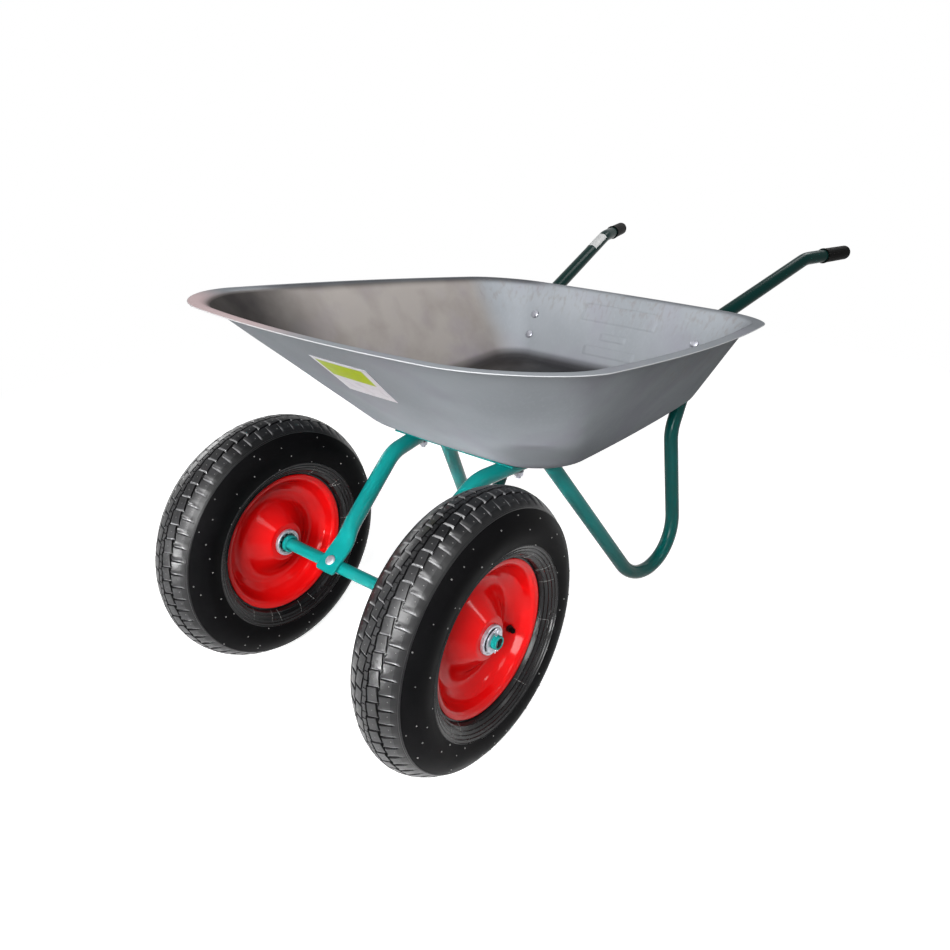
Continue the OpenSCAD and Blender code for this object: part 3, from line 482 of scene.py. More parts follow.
def trayPressings(under, rise):
    # blank raised pads on the rear wall, and slow waves a fraction of a millimetre high in the drawn walls
    p = trayShape
    x, y, z = np.moveaxis(under, -1, 0)
    lift = np.zeros_like(x)
    for yc, zc, hw, hh in p["pads"]:
        inY = smooth((hw + p["padEdge"] / 2 - np.abs(y - yc)) / p["padEdge"])
        inZ = smooth((hh + p["padEdge"] / 2 - np.abs(z - zc)) / p["padEdge"])
        lift = np.maximum(lift, inY * inZ)
    lift = p["padRise"] * lift * (x < axleX - 600) * (rise[None] > 0.1)
    wave = (p["waveSlow"] * np.sin(x / 61 + 1.3) * np.sin(y / 47 + 0.4)
            + p["waveQuick"] * np.sin(x / 23 + y / 31 + z / 27))
    onWall = smooth((rise - 0.1) / 0.2) * smooth((0.95 - rise) / 0.2)
    return lift + wave * onWall[None]


# how dark the painted shade gets in each zone of the tray
trayPaintedShade = dict(nose=0.92, floor=0.88, rightBrow=0.7, flange=0.18, rearFlange=0.17, outerSide=0.3)


def trayZones(shell, isInside, rise):
    # where the finish changes, each nought to one at every point: a painted warm reflection and stains on the
    # inside of the right wall, painted shade in the nose, on the floor, along the right brow and on the outer
    # sides, a thin darkening of the flange, drips below the rear rim and on the outer sides, pink towards the
    # top of the nose, and the cut edge
    p = trayPaintedShade  # the most painted shade in each zone
    x, y, _ = np.moveaxis(shell, -1, 0)
    back = axleX - x
    onWall = smooth((0.985 - rise) / 0.03)
    nose = p["nose"] * onWall * smooth((270 - back) / 190)
    floor = p["floor"] * smooth((0.15 - rise) / 0.1)
    rightBrow = smooth((rise - 0.93) / 0.04) * smooth((1.08 - rise) / 0.03) * smooth((-y - 150) / 80)
    rightBrow = p["rightBrow"] * rightBrow * smooth((back - 70) / 120)
    flange = (1 - onWall) * (p["flange"] + p["rearFlange"] * smooth((back - 520) / 120) * (y > 0))
    outerSide = (1 - isInside) * onWall * smooth((np.abs(y) - 165) / 55) * smooth((back - 120) / 140)
    outerRun = outerSide * smooth((rise - 0.45) / 0.3) * smooth((back - 230) / 140)
    innerRun = isInside * onWall * smooth((rise - 0.5) / 0.35) * smooth((back - 620) / 60)
    # painted warm reflection and stains on the inside of the right wall
    return dict(warmth=isInside * smooth((-y - 60) / 160) * smooth((690 - back) / 70) * onWall,
                # painted shade: the darkest of the zones inside, and the outer sides
                oil=np.maximum(isInside * np.max([nose, floor, rightBrow, flange], 0),
                               p["outerSide"] * outerSide),
                drip=np.maximum(innerRun, outerRun),
                blush=smooth((rise - 0.955) / 0.03) * smooth((60 - back) / 90) * smooth((60 - y) / 160),
                edge=smooth((rise - 1.094) / 0.006))


trayUnder, trayUp, trayRise = traySurface()
trayUnder = trayUnder + trayPressings(trayUnder, trayRise)[..., None] * trayUp
out = unit(trayUnder[:, -1:] - trayUnder[:, -2:-1])
cutEdge = trayUnder[:, -1:] + trayShape["sheet"] / 2 * trayUp[:, -1:] + trayShape["cutRound"] * out
shell = np.concatenate([trayUnder, cutEdge, (trayUnder + trayShape["sheet"] * trayUp)[:, ::-1]], 1)
riseShell = np.concatenate([trayRise, trayRise[-1:], trayRise[::-1]])[None] + 0 * shell[..., 0]
isInside = (np.arange(shell.shape[1]) > len(trayRise))[None] + 0 * riseShell
part = capped(shell)
zones = {name: np.append(values.ravel(), values[0, [0, -1]])
         for name, values in trayZones(shell, isInside, riseShell).items()}
makePiece("tray_sheet", part, galvanised, "frame", ["tray"], 50, zones)
print("tray pressed:", len(part[1]), "quads")


# blank label on the front wall: corners as (share of the front edge's half, share of the wall's height)

frontLabel = dict(corners=[(-0.27, 0.804), (0.285, 0.797), (0.215, 0.516), (-0.365, 0.523)], off=0.25,
                  thick=0.25, cells=64, field=(0.05, 0.90, 0.06, 0.53), fieldEdge=0.02)


def frontLabelSheet():
    # a four cornered patch of the tray's own wall, read between its rows and columns and lifted off it
    p = frontLabel
    k = np.linspace(0, 1, p["cells"] + 1)
    u, v = np.meshgrid(k, k, indexing="ij")
    a, b, c, d = np.array(p["corners"])[:, :, None, None]
    across, high = mix(mix(a, b, u), mix(d, c, u), v)
    column = across * trayShape["steps"]["front"]
    row = np.interp(high, trayRise, np.arange(len(trayRise)))
    c0, r0 = np.floor(column).astype(int), np.floor(row).astype(int)
    fc, fr = (column - c0)[..., None], (row - r0)[..., None]
    n = len(trayUnder)

    def between(table):
        return mix(mix(table[c0 % n, r0], table[(c0 + 1) % n, r0], fc),
                   mix(table[c0 % n, r0 + 1], table[(c0 + 1) % n, r0 + 1], fc), fr)

    wall, outward = between(trayUnder), -unit(between(trayUp))
    inner, outer = (wall + off * outward for off in (p["off"], p["off"] + p["thick"]))
    f0, f1, f2, f3 = p["field"]
    e = p["fieldEdge"]
    field = smooth((u - f0) / e) * smooth((f1 - u) / e) * smooth((v - f2) / e) * smooth((f3 - v) / e)
    return np.concatenate([inner, outer[:, ::-1]], 1), np.concatenate([field, field[:, ::-1]], 1)


sheet, field = frontLabelSheet()
makePiece("front_blank_label", folded(sheet), frontFilm, "frame", (), 40,
          {"field": np.concatenate([field[:1], field, field[-1:]]).ravel()})


# frame: each side is one bent tube from a flattened lug on the axle to the grip

# the leg and handle amounts near the end set the painted shade at the rear of the tube
tubeShape = dict(radius=13.5, lugSpread=120, lugT=5, lugW=38, lugLen=26, lugEnd=19, lugCornerR=5,
                 taperLen=45, riseAngle=33, frontSplay=8.8, carryH=327, levelLen=148, legAngle=54.8,
                 legSplay=22, backLean=0.8, inLean=8.0, heelH=271, wallAngle=62, backH=451,
                 handleAngle=12.7, handleSplay=9.8, handleLen=380, gripSplay=14, gripDrop=1.5,
                 gripReach=166, gripCap=6.3, axleR=10, bends=(70, 60, 88, 80, 55, 110), sides=48,
                 bendStep=2.5, straightStep=22, legShade=0.82, legFrom=390, handleShade=0.14, handleFrom=600,
                 handleH=380)


def heading(side, rise):  # a direction that goes back, out to the side and up, by two angles in degrees
    a, s = np.radians(rise), np.radians(side)
    return np.array([-np.cos(a) * np.cos(s), np.cos(a) * np.sin(s), np.sin(a)])


def tubeCorners():
    # corners of the left tube's centre line, each found from the one before by a direction and a length
    # or a height
    p = tubeShape
    rise = np.radians(p["riseAngle"])
    lugUp = np.array([np.sin(rise), 0, np.cos(rise)])
    lugMid = np.array([axleX, p["lugSpread"] / 2, axleZ]) + (p["axleR"] + p["lugT"] / 2) * lugUp
    riseDir = heading(p["frontSplay"], p["riseAngle"])
    start = lugMid + (p["lugLen"] + p["taperLen"]) * riseDir
    c1 = lugMid + (p["carryH"] - lugMid[2]) / riseDir[2] * riseDir
    c2 = c1 + p["levelLen"] * heading(p["frontSplay"], 0)
    arm = heading(p["legSplay"], -p["legAngle"])
    upward = unit([-np.tan(np.radians(p["backLean"])), -np.tan(np.radians(p["inLean"])), 1])
    footHalf = (np.pi - np.arccos(arm @ upward)) / 2
    footRise = unit(upward - arm)[2] / np.sin(footHalf) - np.sqrt(1 - unit(np.cross(arm, upward))[2] ** 2)
    c3 = c2 + (p["radius"] - p["bends"][2] * footRise - p["carryH"]) / arm[2] * arm
    c4 = c3 + (p["heelH"] - c3[2]) / upward[2] * upward
    wall = np.radians(p["wallAngle"])
    wallDir = np.array([-np.cos(wall), 0, np.sin(wall)])
    c5 = c4 + (p["backH"] - p["heelH"]) / wallDir[2] * wallDir
    handleDir = heading(p["handleSplay"], p["handleAngle"])
    c6 = c5 + p["handleLen"] * handleDir
    gripDir = heading(p["gripSplay"], -p["gripDrop"])
    tip = c6 + p["gripReach"] * gripDir
    return dict(lugMid=lugMid, lugUp=lugUp, riseDir=riseDir, handleDir=handleDir, gripDir=gripDir, tip=tip,
                wallDir=wallDir, heel=c4, front=c1, handleEnd=c6,
                wallOut=np.array([-np.sin(wall), 0, -np.cos(wall)]),
                line=np.array([start, c1, c2, c3, c4, c5, c6, tip - p["gripCap"] * gripDir]))


corners = tubeCorners()


def tubeStations():
    # places and directions along the centre line: even steps on straights, fine steps round each bend
    p, line = tubeShape, corners["line"]
    spots, ways = [line[:1]], [corners["riseDir"][None]]
    for a, b, c, r in zip(line[:-2], line[1:-1], line[2:], p["bends"]):
        d, e = unit(b - a), unit(c - b)
        turn = np.arccos(d @ e)
        m = unit(e - (e @ d) * d)
        begin = b - r * np.tan(turn / 2) * d
        gap = np.linalg.norm(begin - spots[-1][-1])
        k = np.linspace(0, 1, int(gap / p["straightStep"]) + 2)[1:-1, None]
        q = turn * np.linspace(0, 1, int(np.degrees(turn) / p["bendStep"]) + 2)[:, None]
        spots += [mix(spots[-1][-1], begin, k), begin + r * (np.sin(q) * d + (1 - np.cos(q)) * m)]
        ways += [d + 0 * k, np.cos(q) * d + np.sin(q) * m]
    k = np.linspace(0, 1, 8)[1:, None]
    spots.append(mix(spots[-1][-1], line[-1], k))
    ways.append(corners["gripDir"] + 0 * k)
    return np.vstack(spots), np.vstack(ways)


tubeSpots, tubeWays = tubeStations()


def frameTube(side):
    # a round section carried along the stations; at the axle it melts into a flat lug with two round corners
    p = tubeShape
    a = around(p["sides"])
    y = np.array([0.0, 1.0, 0.0])
    w = unit(y - (tubeWays @ y)[:, None] * tubeWays)
    body = tubeSpots + p["radius"] * (np.cos(a)[..., None] * w + np.sin(a)[..., None] * np.cross(w, tubeWays))
    rise = np.radians(p["riseAngle"])
    lugDir = np.array([-np.cos(rise), 0, np.sin(rise)])

    def lugRing(u, half):
        flatSide = np.tanh(7 * np.sin(a)) / np.tanh(7) * p["lugT"] / 2
        return (corners["lugMid"] + u[..., None] * lugDir + (half * np.cos(a))[..., None] * y
                + flatSide[..., None] * corners["lugUp"])

    q = np.radians(np.linspace(0, 90, 8))[None]
    tip = lugRing(p["lugCornerR"] * (1 - np.cos(q)) - p["lugEnd"] + 0 * a,
                  p["lugW"] / 2 - p["lugCornerR"] * (1 - np.sin(q)))
    t = np.linspace(0, 1, 16, endpoint=False)[None]
    flat = lugRing(p["lugLen"] + p["taperLen"] * t + 0 * a, p["lugW"] / 2 + 0 * t)
    back = body[:, :1] - (p["taperLen"] * (1 - t))[..., None] * corners["riseDir"]
    taper = mix(flat, back, smooth(t)[..., None])
    points = np.concatenate([tip, taper, body], 1) * (1, side, 1)
    back, high = axleX - points[..., 0], points[..., 2]
    # painted shade: the tube darkens towards the legs and handles at the rear, most on the handles
    paintedRearShade = (p["legShade"] * smooth((back - p["legFrom"]) / 120)
            + p["handleShade"] * smooth((back - p["handleFrom"]) / 200) * smooth((high - p["handleH"]) / 60))
    handle = (back > axleX - corners["line"][5][0]) & (high > p["handleH"])
    onHandle = np.append(handle[:, 1:].ravel(), np.repeat([0, 1], p["sides"]))
    return capped(points), {"paintedRearShade": np.append(paintedRearShade.ravel(), [0, 0.95])}, onHandle


for side, name in ((1, "left"), (-1, "right")):
    part, shaded, onHandle = frameTube(side)
    makePiece(name + "_bent_tube", part, [tealEnamel, shadedHandleEnamel], "frame", [name + "_frame_tube"],
              40, shaded, onHandle)
print("frame tubes bent:", len(tubeSpots), "stations")


# grips: moulded vinyl sleeves, faintly fluted, with a small ring at the mouth and a round end

gripShape = dict(length=96, radius=15.4, tipRadius=15.0, lipR=16.2, lipLen=3, mouthR=13.9, flutes=22,
                 fluteDeep=0.3, tipR=8.5, sides=132)


def gripSleeve(side):
    # radius along the sleeve from the round end to the mouth, less a cosine flute round it in the handhold
    p = gripShape
    end, lip = p["length"], p["length"] - p["lipLen"]
    line = rounded([(0.01, 0), (p["tipRadius"], 0), (p["radius"], lip - 1), (p["lipR"], lip),
                    (p["lipR"], end), (p["mouthR"], end)], [p["tipR"], 1.5, 0.6, 1.0], 9)
    r, h = filledIn(line, 50)
    a = around(p["sides"])
    hold = smooth((h - 8) / 6) * smooth((lip - 4 - h) / 6)
    radius = r - p["fluteDeep"] * hold * (0.5 - 0.5 * np.cos(a * p["flutes"])) ** 2
    points = spun(radius, h, a)
    return capped(placed(points, corners["tip"], -corners["gripDir"]) * (1, side, 1))


for side, name in ((1, "left"), (-1, "right")):
    makePiece(name + "_vinyl_grip", gripSleeve(side), gripVinyl, "frame", [name + "_grip"], 50)


# blank label wrapped on the right handle, ahead of its last bend

handleLabel = dict(ahead=(22, 95), turn=(-62, 66), off=0.2, thick=0.25, cells=(14, 30))


def handleLabelSheet():
    # part of a cylinder round the handle's line, as an outer and an inner skin
    p = handleLabel
    axis = corners["handleDir"] * (1, -1, 1)
    top = unit(np.array([0, 0, 1.0]) - axis[2] * axis)
    aside = np.cross(top, axis)
    aside = aside * np.sign(aside[1])
    a = np.radians(np.linspace(*p["turn"], p["cells"][1] + 1))[None, :, None]
    b = np.linspace(*p["ahead"], p["cells"][0] + 1)[:, None, None]
    way = np.cos(a) * top + np.sin(a) * aside
    line = corners["handleEnd"] * (1, -1, 1) - b * axis
    inner, outer = (line + (tubeShape["radius"] + d) * way for d in (p["off"], p["off"] + p["thick"]))
    return np.concatenate([outer, inner[:, ::-1]], 1)


makePiece("right_handle_blank_label", folded(handleLabelSheet()), handleFilm, "frame", (), 40)


# cross strip under the tray's floor: flat bar with rolled edges

stripShape = dict(lead=48, width=62, thick=3, over=21, boltAt=92, edgeR=1.3)
floorBolt = corners["front"] + stripShape["boltAt"] * heading(tubeShape["frontSplay"], 0)


def crossStrip():
    # a rounded rectangle carried across the barrow, drawn in at its two ends
    p = stripShape
    x1 = floorBolt[0] + p["lead"]
    x0 = x1 - p["width"]
    z0 = tubeShape["carryH"] + tubeShape["radius"]
    box = np.array([[x0, z0], [x1, z0], [x1, z0 + p["thick"]], [x0, z0 + p["thick"]]])
    start = mix(box[0], box[1], 0.5)[None]
    loop = rounded(np.vstack([start, np.roll(box, -1, 0), start]), [p["edgeR"]] * 4, 5)[:-1]
    half = floorBolt[1] + p["over"]
    draw = p["edgeR"] * np.array([1.0, 0.3, 0])
    y = np.concatenate([-half + draw[::-1], np.linspace(8 - half, half - 8, 12), half - draw])
    shrink = np.concatenate([draw, np.zeros(12), draw[::-1]])
    mid = box.mean(0)
    halves = np.array([p["width"] / 2, p["thick"] / 2])
    ring = mid + (loop[:, None] - mid) * (1 - shrink[None, :, None] / halves)
    return capped(np.stack([ring[..., 0], y + 0 * ring[..., 0], ring[..., 1]], -1))


makePiece("floor_strip", crossStrip(), tealEnamel, "frame", ["cross_strip"], 40)
print("grips, labels and strip made")


# fasteners: dome head bolts with rolled threads, washers and chamfered hexagon nuts

boltShape = dict(shankR=4.0, threadPitch=1.25, threadDeep=0.45, threadLen=17, headR=8.25, headH=3.5,
                 nutAcross=13.0, nutH=6.5, washerR=8.5, washerT=1.6, over=4.0, backH=381, backPitch=44,
                 wallGap=1.4, crown=2.86, holeR=4.4)


def domeBolt(reach):
    # half profile of a dome on a short rim, a plain shank, and a zigzag for the thread
    p = boltShape
    a = np.radians(np.linspace(90, 0, 12))
    dome = np.stack([0.01 + (p["headR"] - 0.01) * np.cos(a), 0.7 + (p["headH"] - 0.7) * np.sin(a)], -1)
    k = np.arange(2 * int(p["threadLen"] / p["threadPitch"]) + 1)
    thread = np.stack([p["shankR"] - p["threadDeep"] * (k % 2),
                       -reach + p["threadLen"] - k * p["threadPitch"] / 2 - 0.6], -1)
    neck = [[p["headR"] - 0.4, 0], [p["shankR"], 0], [p["shankR"], -reach + p["threadLen"]]]
    end = [[p["shankR"] - 0.9, -reach], [0.01, -reach]]
    return turned(np.vstack([dome, neck, thread, end]), 40)


def washerRing(outer, inner, thick, bevel=0.35):
    # a rectangle with bevelled corners carried round the axis
    c = min(bevel, thick / 3)
    return turned([(inner, c), (inner + c, 0), (outer - c, 0), (outer, c), (outer, thick - c),
                   (outer - c, thick), (inner + c, thick), (inner, thick - c)], 72)


def hexNut():
    # a hexagon whose corners are cut by a cone at each face, with a bevelled bore
    a = around(96)
    hexR = boltShape["nutAcross"] / 2 / np.cos((a + np.pi / 6) % (np.pi / 3) - np.pi / 6)
    h = np.array([0.9, 0, 0, 0.35, 0.9, 2.0, 4.5, 5.6, 6.15, 6.5, 6.5, 5.6])
    limit = np.array([4.2, 5.0, 6.2, 6.9, 9, 9, 9, 9, 6.9, 6.2, 5.0, 4.2])
    return spun(np.minimum(hexR, limit), h, a)


nutStack = boltShape["washerT"] + boltShape["nutH"] + boltShape["over"]
radius, sheet = tubeShape["radius"], trayShape["sheet"]
headStand = radius + boltShape["wallGap"] + boltShape["crown"] + sheet
wallDir, wallOut = corners["wallDir"], corners["wallOut"]
backFirst = corners["heel"] + (boltShape["backH"] - tubeShape["heelH"]) / wallDir[2] * wallDir
boltSets = dict(
    floor=(trayShape["floorZ"] + sheet - (tubeShape["carryH"] - radius) + nutStack,
           [((floorBolt[0], floorBolt[1], trayShape["floorZ"] + sheet), (0, 0, 1.0))]),
    back=(headStand + radius + nutStack,
          [(backFirst + k * boltShape["backPitch"] * wallDir - headStand * wallOut, -wallOut)
           for k in (0, 1)]),
    axle=(tubeShape["lugT"] + 2 * tubeShape["axleR"] + nutStack,
          [(corners["lugMid"] + tubeShape["lugT"] / 2 * corners["lugUp"], corners["lugUp"])]))
for name, (reach, spots) in boltSets.items():
    bolts, washers, nuts = [], [], []
    washer = washerRing(boltShape["washerR"], boltShape["holeR"], boltShape["washerT"])
    for side in (1, -1):
        for origin, axis in spots:
            flip = np.array([1, side, 1])
            axis = np.asarray(axis)
            rest = np.asarray(origin) + axis * (nutStack - reach - boltShape["washerT"])
            bolts.append(capped(placed(domeBolt(reach), origin, axis) * flip))
            washers.append(looped(placed(washer, rest, axis) * flip))
            nuts.append(looped(placed(hexNut(), rest - axis * boltShape["nutH"], axis) * flip))
    for kind, node, parts, sharp in (("_dome_bolts", "_bolts", bolts, 30),
                                     ("_flat_washers", "_washers", washers, 30),
                                     ("_hexagon_nuts", "_nuts", nuts, 25)):
        makePiece(name + kind, join(parts), zincPlate, "frame", [name + node], sharp)
print("fasteners made")


# axle: an open ended tube, with a collar inside and a washer and a split pin outside each wheel

axleShape = dict(radius=10, bore=7, half=253.3, bevel=0.8, washerR=17, holeR=10.05, washerT=2.5, collarLen=8,
                 collarR=14, washerAt=37.5, pinAt=42.3, wireR=0.98, legX=1.0, legEnd=12.0, legTip=16.0,
                 legSpread=(3.4, 2.6), eyeZ=18.0, eyeR=4.0)


def bevelledTube(p, sides):
    # a ring section carried round the axis, its edges bevelled
    r0, r1, h, e = p["bore"], p["radius"], p["half"], p["bevel"]
    profile = [(r0, h - e / 2), (r0 + e / 2, h), (r1 - e, h), (r1, h - e), (r1, 0)]
    return turned(profile + [(r, -z) for r, z in profile[-2::-1]] + [(r0, 0)], sides)


def splitPin():
    # one round wire: up a leg, round the eye and down the other leg, the two ends bent apart
    p = axleShape
    a = np.radians(np.linspace(-65, 245, 28))[:, None]
    eye = np.concatenate([p["eyeR"] * np.cos(a), p["eyeZ"] + p["eyeR"] * np.sin(a)], 1)
    legs = [np.array([[side * spread, -p["legTip"]], [side * p["legX"], -p["legEnd"]], [side * p["legX"], 0],
                      [side * p["legX"], p["radius"] + 1.5]])
            for side, spread in zip((1, -1), p["legSpread"])]
    path = np.vstack([legs[0], eye, legs[1][::-1]])
    way = unit(np.gradient(path, axis=0))
    aside = np.stack([-way[:, 1], way[:, 0]], -1)
    a = around(10)[..., None]
    flat = path + p["wireR"] * np.cos(a) * aside
    return np.concatenate([flat[..., :1], p["wireR"] * np.sin(a) + 0 * flat[..., :1], flat[..., 1:]], -1)


tube = bevelledTube(axleShape, 64)
inBore = np.tile(np.arange(tube.shape[1]) >= tube.shape[1] - 2, len(tube))
makePiece("axle_tube", looped(placed(tube, (axleX, 0, axleZ), (0, 1, 0), (1, 0, 0))),
          [tealEnamel, bareSteel], "frame", ["axle"], 30, faceFinish=inBore)


# tyres: section curve carried round the axle, with the tread cut in and ribs raised along it

tyreShape = dict(crownR=203.0, neckR=115.5, halfWidth=54.0, beadZ=31.7, widest=0.44, power=1.12, track=411,
                 bead=[(109.0, 31.4), (104.8, 28.5), (103.3, 22.0)], pitches=59, phase=39.9, lines=14,
                 grooveDeep=4.0, blockDeep=3.4, blockRamp=1.8, slitDeep=4.0, rampDeep=2.4, sipeDeep=2.4,
                 rampIn=0.23, rampOut=0.55, barFrom=19.8, barTo=41.5, stepAt=0.465, ribHigh=0.9,
                 ringRadii=(119, 123.5, 128, 132.5, 137), ringHigh=1.1, treadTo=45.4, shoulderFrom=34.0,
                 bandR=139.5, gapShade=0.7)


def tyreSection():
    # power curves from the crown to the widest place and on to the neck, with the distance from the crown
    # and the way out at each point
    p = tyreShape
    widestR = mix(p["neckR"], p["crownR"], p["widest"])
    a = np.radians(np.linspace(90, 0, 300))
    upper = np.stack([widestR + (p["crownR"] - widestR) * np.sin(a) ** p["power"],
                      p["halfWidth"] * np.cos(a) ** p["power"]], -1)
    lower = np.stack([widestR - (widestR - p["neckR"]) * np.cos(a) ** p["power"],
                      p["beadZ"] + (p["halfWidth"] - p["beadZ"]) * np.sin(a) ** p["power"]], -1)[1:]
    line = np.vstack([upper, lower, p["bead"]])
    way = np.gradient(line, axis=0)
    outward = unit(np.stack([way[:, 1], -way[:, 0]], -1))
    return line, outward, lengthAlong(line)


section, sectionOut, sectionArc = tyreSection()


def onSection(dist):  # radius and side distance of the skin at a distance from the crown, and its way out
    return [np.interp(dist, sectionArc, column) for column in (*section.T, *sectionOut.T)]


def treadRows():
    # one side's rows as (distance from the crown, kind of row, zigzag, rise), from the crown to the bead
    p = tyreShape
    rows = [(0.0, "rib", 0, 0), (1.5, "rib", 0.3, 0), (2.7, "rib", 0.9, 0), (3.2, "gap", 0.9, 0),
            (4.6, "gap", 1.2, 0), (5.1, "block", 1.2, 0), (8, "block", 0.7, 0), (11.3, "block", 0.2, 0),
            (14.4, "block", 0.8, 0), (17.3, "block", 1.7, 0), (17.8, "gap", 1.7, 0), (19.3, "gap", 1.7, 0),
            (p["barFrom"], "bar", 1.7, 0), (21.8, "bar", 1.0, 0)]
    rows += [(s, "bar", 0, 0) for s in (24.5, 27.5, 30.5, 33.5, 36.5, 39, p["barTo"])]
    high = p["ribHigh"]
    rows += [(42.3, "wall", 0, 0), (43, "wall", 0, high), (44.6, "wall", 0, high), (45.3, "wall", 0, 0)]
    rows += [(s, "wall", 0, 0) for s in np.linspace(49, 96, 8)]
    ringAt = np.interp(-np.array(p["ringRadii"]), -section[:, 0], sectionArc)[::-1]
    for s in ringAt:
        rows += [(s - 0.9, "wall", 0, 0), (s, "wall", 0, p["ringHigh"]), (s + 0.9, "wall", 0, 0)]
    neck = sectionArc[-len(p["bead"]) - 1]
    rows += [(s, "wall", 0, 0) for s in (neck - 2, *sectionArc[-len(p["bead"]) - 1:])]
    return rows


def pitchLines(kind, s):
    # places of the lines within one pitch, how deep each is cut and how much painted glint each takes, for a
    # row
    # of this kind: shoulder bars have a slit and a ramp that rises out of it, blocks a narrow cross groove
    # with a ramp, the middle rib two sipes
    p = tyreShape
    scuffAndGlint = np.zeros(p["lines"])
    if kind == "bar":
        k = np.clip((s - p["barFrom"]) / (p["barTo"] - p["barFrom"]), 0, 1)
        top = mix(p["rampIn"], p["rampOut"], k)
        ramp = p["rampDeep"] * (1 - k ** 1.5)
        slit = max(ramp, p["slitDeep"] * smooth((0.72 - k) / 0.14))
        land = np.linspace(max(top + 0.05, 0.5), 0.965, 7)
        at = np.concatenate([[0, 0.045], np.linspace(0.06, top, 4), land, [0.985]])
        cut = np.concatenate([[slit, slit], ramp * np.linspace(1, 0, 4), np.zeros(8)])
        # painted glint: pale along the slit and the foot of its ramp, fading out along the bar
        scuffAndGlint[1:3] = 0.85 * smooth((0.85 - k) / 0.2)
    elif kind == "rib":
        at = np.array([0.05, 0.165, 0.185, 0.215, 0.235, 0.42, 0.51, 0.60, 0.665, 0.685, 0.715, 0.735, 0.83,
                       0.93])
        cut = np.array([0, 0, 1, 1, 0, 0, 0, 0, 0, 1, 1, 0, 0, 0]) * p["sipeDeep"]
    elif kind == "wall":
        at = (np.arange(p["lines"]) + 0.2) / p["lines"]
        cut = np.zeros(p["lines"])
    else:
        at = np.array([0.03, 0.13, 0.23, 0.32, 0.385, 0.40, 0.435, 0.445, 0.56, 0.64, 0.72, 0.80, 0.88, 0.95])
        at = at + 0.07 * (s - 9) / 9
        cut = np.zeros(p["lines"]) + (p["grooveDeep"] if kind == "gap" else 0)
        if kind == "block":
            cut[5:8] = p["blockDeep"], p["blockDeep"], p["blockRamp"]
            # painted glint on the cross groove and its ramp
            scuffAndGlint[6:8] = 0.7
    return at, cut, scuffAndGlint


def tyreSurface():
    # rows from one bead over the crown to the other; the far half is turned by half a pitch
    p = tyreShape
    rows = treadRows()
    half = p["lines"] // 2
    table = [(-s, *rest, True) for s, *rest in rows[:0:-1]] + [(s, *rest, False) for s, *rest in rows]
    lines = np.array([pitchLines(kind, abs(s)) for s, kind, *_ in table])
    isFar = np.array([t[4] for t in table])
    lines[isFar] = np.roll(lines[isFar], -half, 2)
    lines[isFar, 0] += np.where(np.arange(p["lines"]) < half, -0.5, 0.5)
    at, cut, scuffAndGlint = lines.transpose(1, 0, 2)
    s, zig, lift, far = (np.array([t[k] for t in table])[:, None] for k in (0, 2, 3, 4))
    saw = 1 - 2 * ((at - p["stepAt"] - 0.5 * far) % 1)
    dist = np.abs(s) + zig * saw
    r, y, nr, ny = onSection(dist)
    r = r + (lift - cut) * nr
    y = np.where(s < 0, -1, 1) * (y + (lift - cut) * ny)
    turn = np.radians(p["phase"]) + (np.arange(p["pitches"])[:, None, None] + at) * 2 * np.pi / p["pitches"]
    points = np.stack([r * np.cos(turn), y + 0 * turn, r * np.sin(turn)], -1)  # pitch, row, line
    points = points.transpose(0, 2, 1, 3).reshape(p["pitches"] * p["lines"], len(table), 3)
    reach = np.abs(s[:, 0])
    bandFrom = np.interp(-p["bandR"], -section[:, 0], sectionArc)
    outer, inner = np.maximum(reach, np.roll(reach, -1)), np.minimum(reach, np.roll(reach, -1))
    finish = np.where(outer < p["treadTo"], np.where(outer < p["shoulderFrom"], 1, 3),
                      np.where(inner > bandFrom - 3, 2, 0))
    gap = np.array([t[1] == "gap" for t in table])[:, None]
    # painted shade in the grooves between the block rows, and the painted glints
    marks = {"cut": p["gapShade"] * gap + 0 * turn, "scuffAndGlint": scuffAndGlint + 0 * turn}
    return points, np.tile(finish, len(points)), {k: v.transpose(0, 2, 1).ravel() for k, v in marks.items()}


def sectionPoint(dist, turn, lift, way):
    # a point on the tyre at a distance from the crown, an angle round the axle and a height above the skin
    r, y, nr, ny = onSection(dist)
    r = r + lift * nr
    return np.stack([r * np.cos(turn), way * (y + lift * ny), r * np.sin(turn)], -1)


nubShape = dict(rings=((52, 13), (63, 16), (78, 14), (92, 12)), block=(11.5, 0.985), bar=(30.5, 0.72))


def mouldNubs(seed):
    # little domes left by the mould's vents: uneven rings on both walls, and one on each block and bar
    p = tyreShape
    rng = np.random.default_rng(seed)
    spots = []
    for way in (1, -1):
        for ringAt, count in nubShape["rings"]:
            turn = (np.arange(count) + rng.uniform(-0.4, 0.4, count)) * 2 * np.pi / count
            spots.append(np.stack([ringAt + rng.uniform(-5, 5, count), turn, np.full(count, way),
                                   rng.uniform(0.9, 1.35, count)], -1))
        for (dist, share), size in ((nubShape["block"], 0.75), (nubShape["bar"], 0.8)):
            turn = np.arange(p["pitches"]) + share - 0.5 * (way < 0)
            turn = np.radians(p["phase"]) + turn * 2 * np.pi / p["pitches"]
            spots.append(np.stack([dist + 0 * turn, turn, way + 0 * turn, size + 0 * turn], -1))
    dist, turn, way, size = np.vstack(spots).T[..., None, None]
    a = around(8)[None]
    q = np.radians(np.array([0, 35, 65]))[None, None]
    spread, high = size * np.cos(q), size * 1.15 * np.sin(q) - 0.3
    r = onSection(dist)[0]
    points = sectionPoint(dist + spread * np.cos(a), turn + spread * np.sin(a) / r, high + 0 * a, way)
    return join([capped(each) for each in points])


seamShape = dict(count=16, start=124, length=(18, 8), width=0.5, lean=0.05)


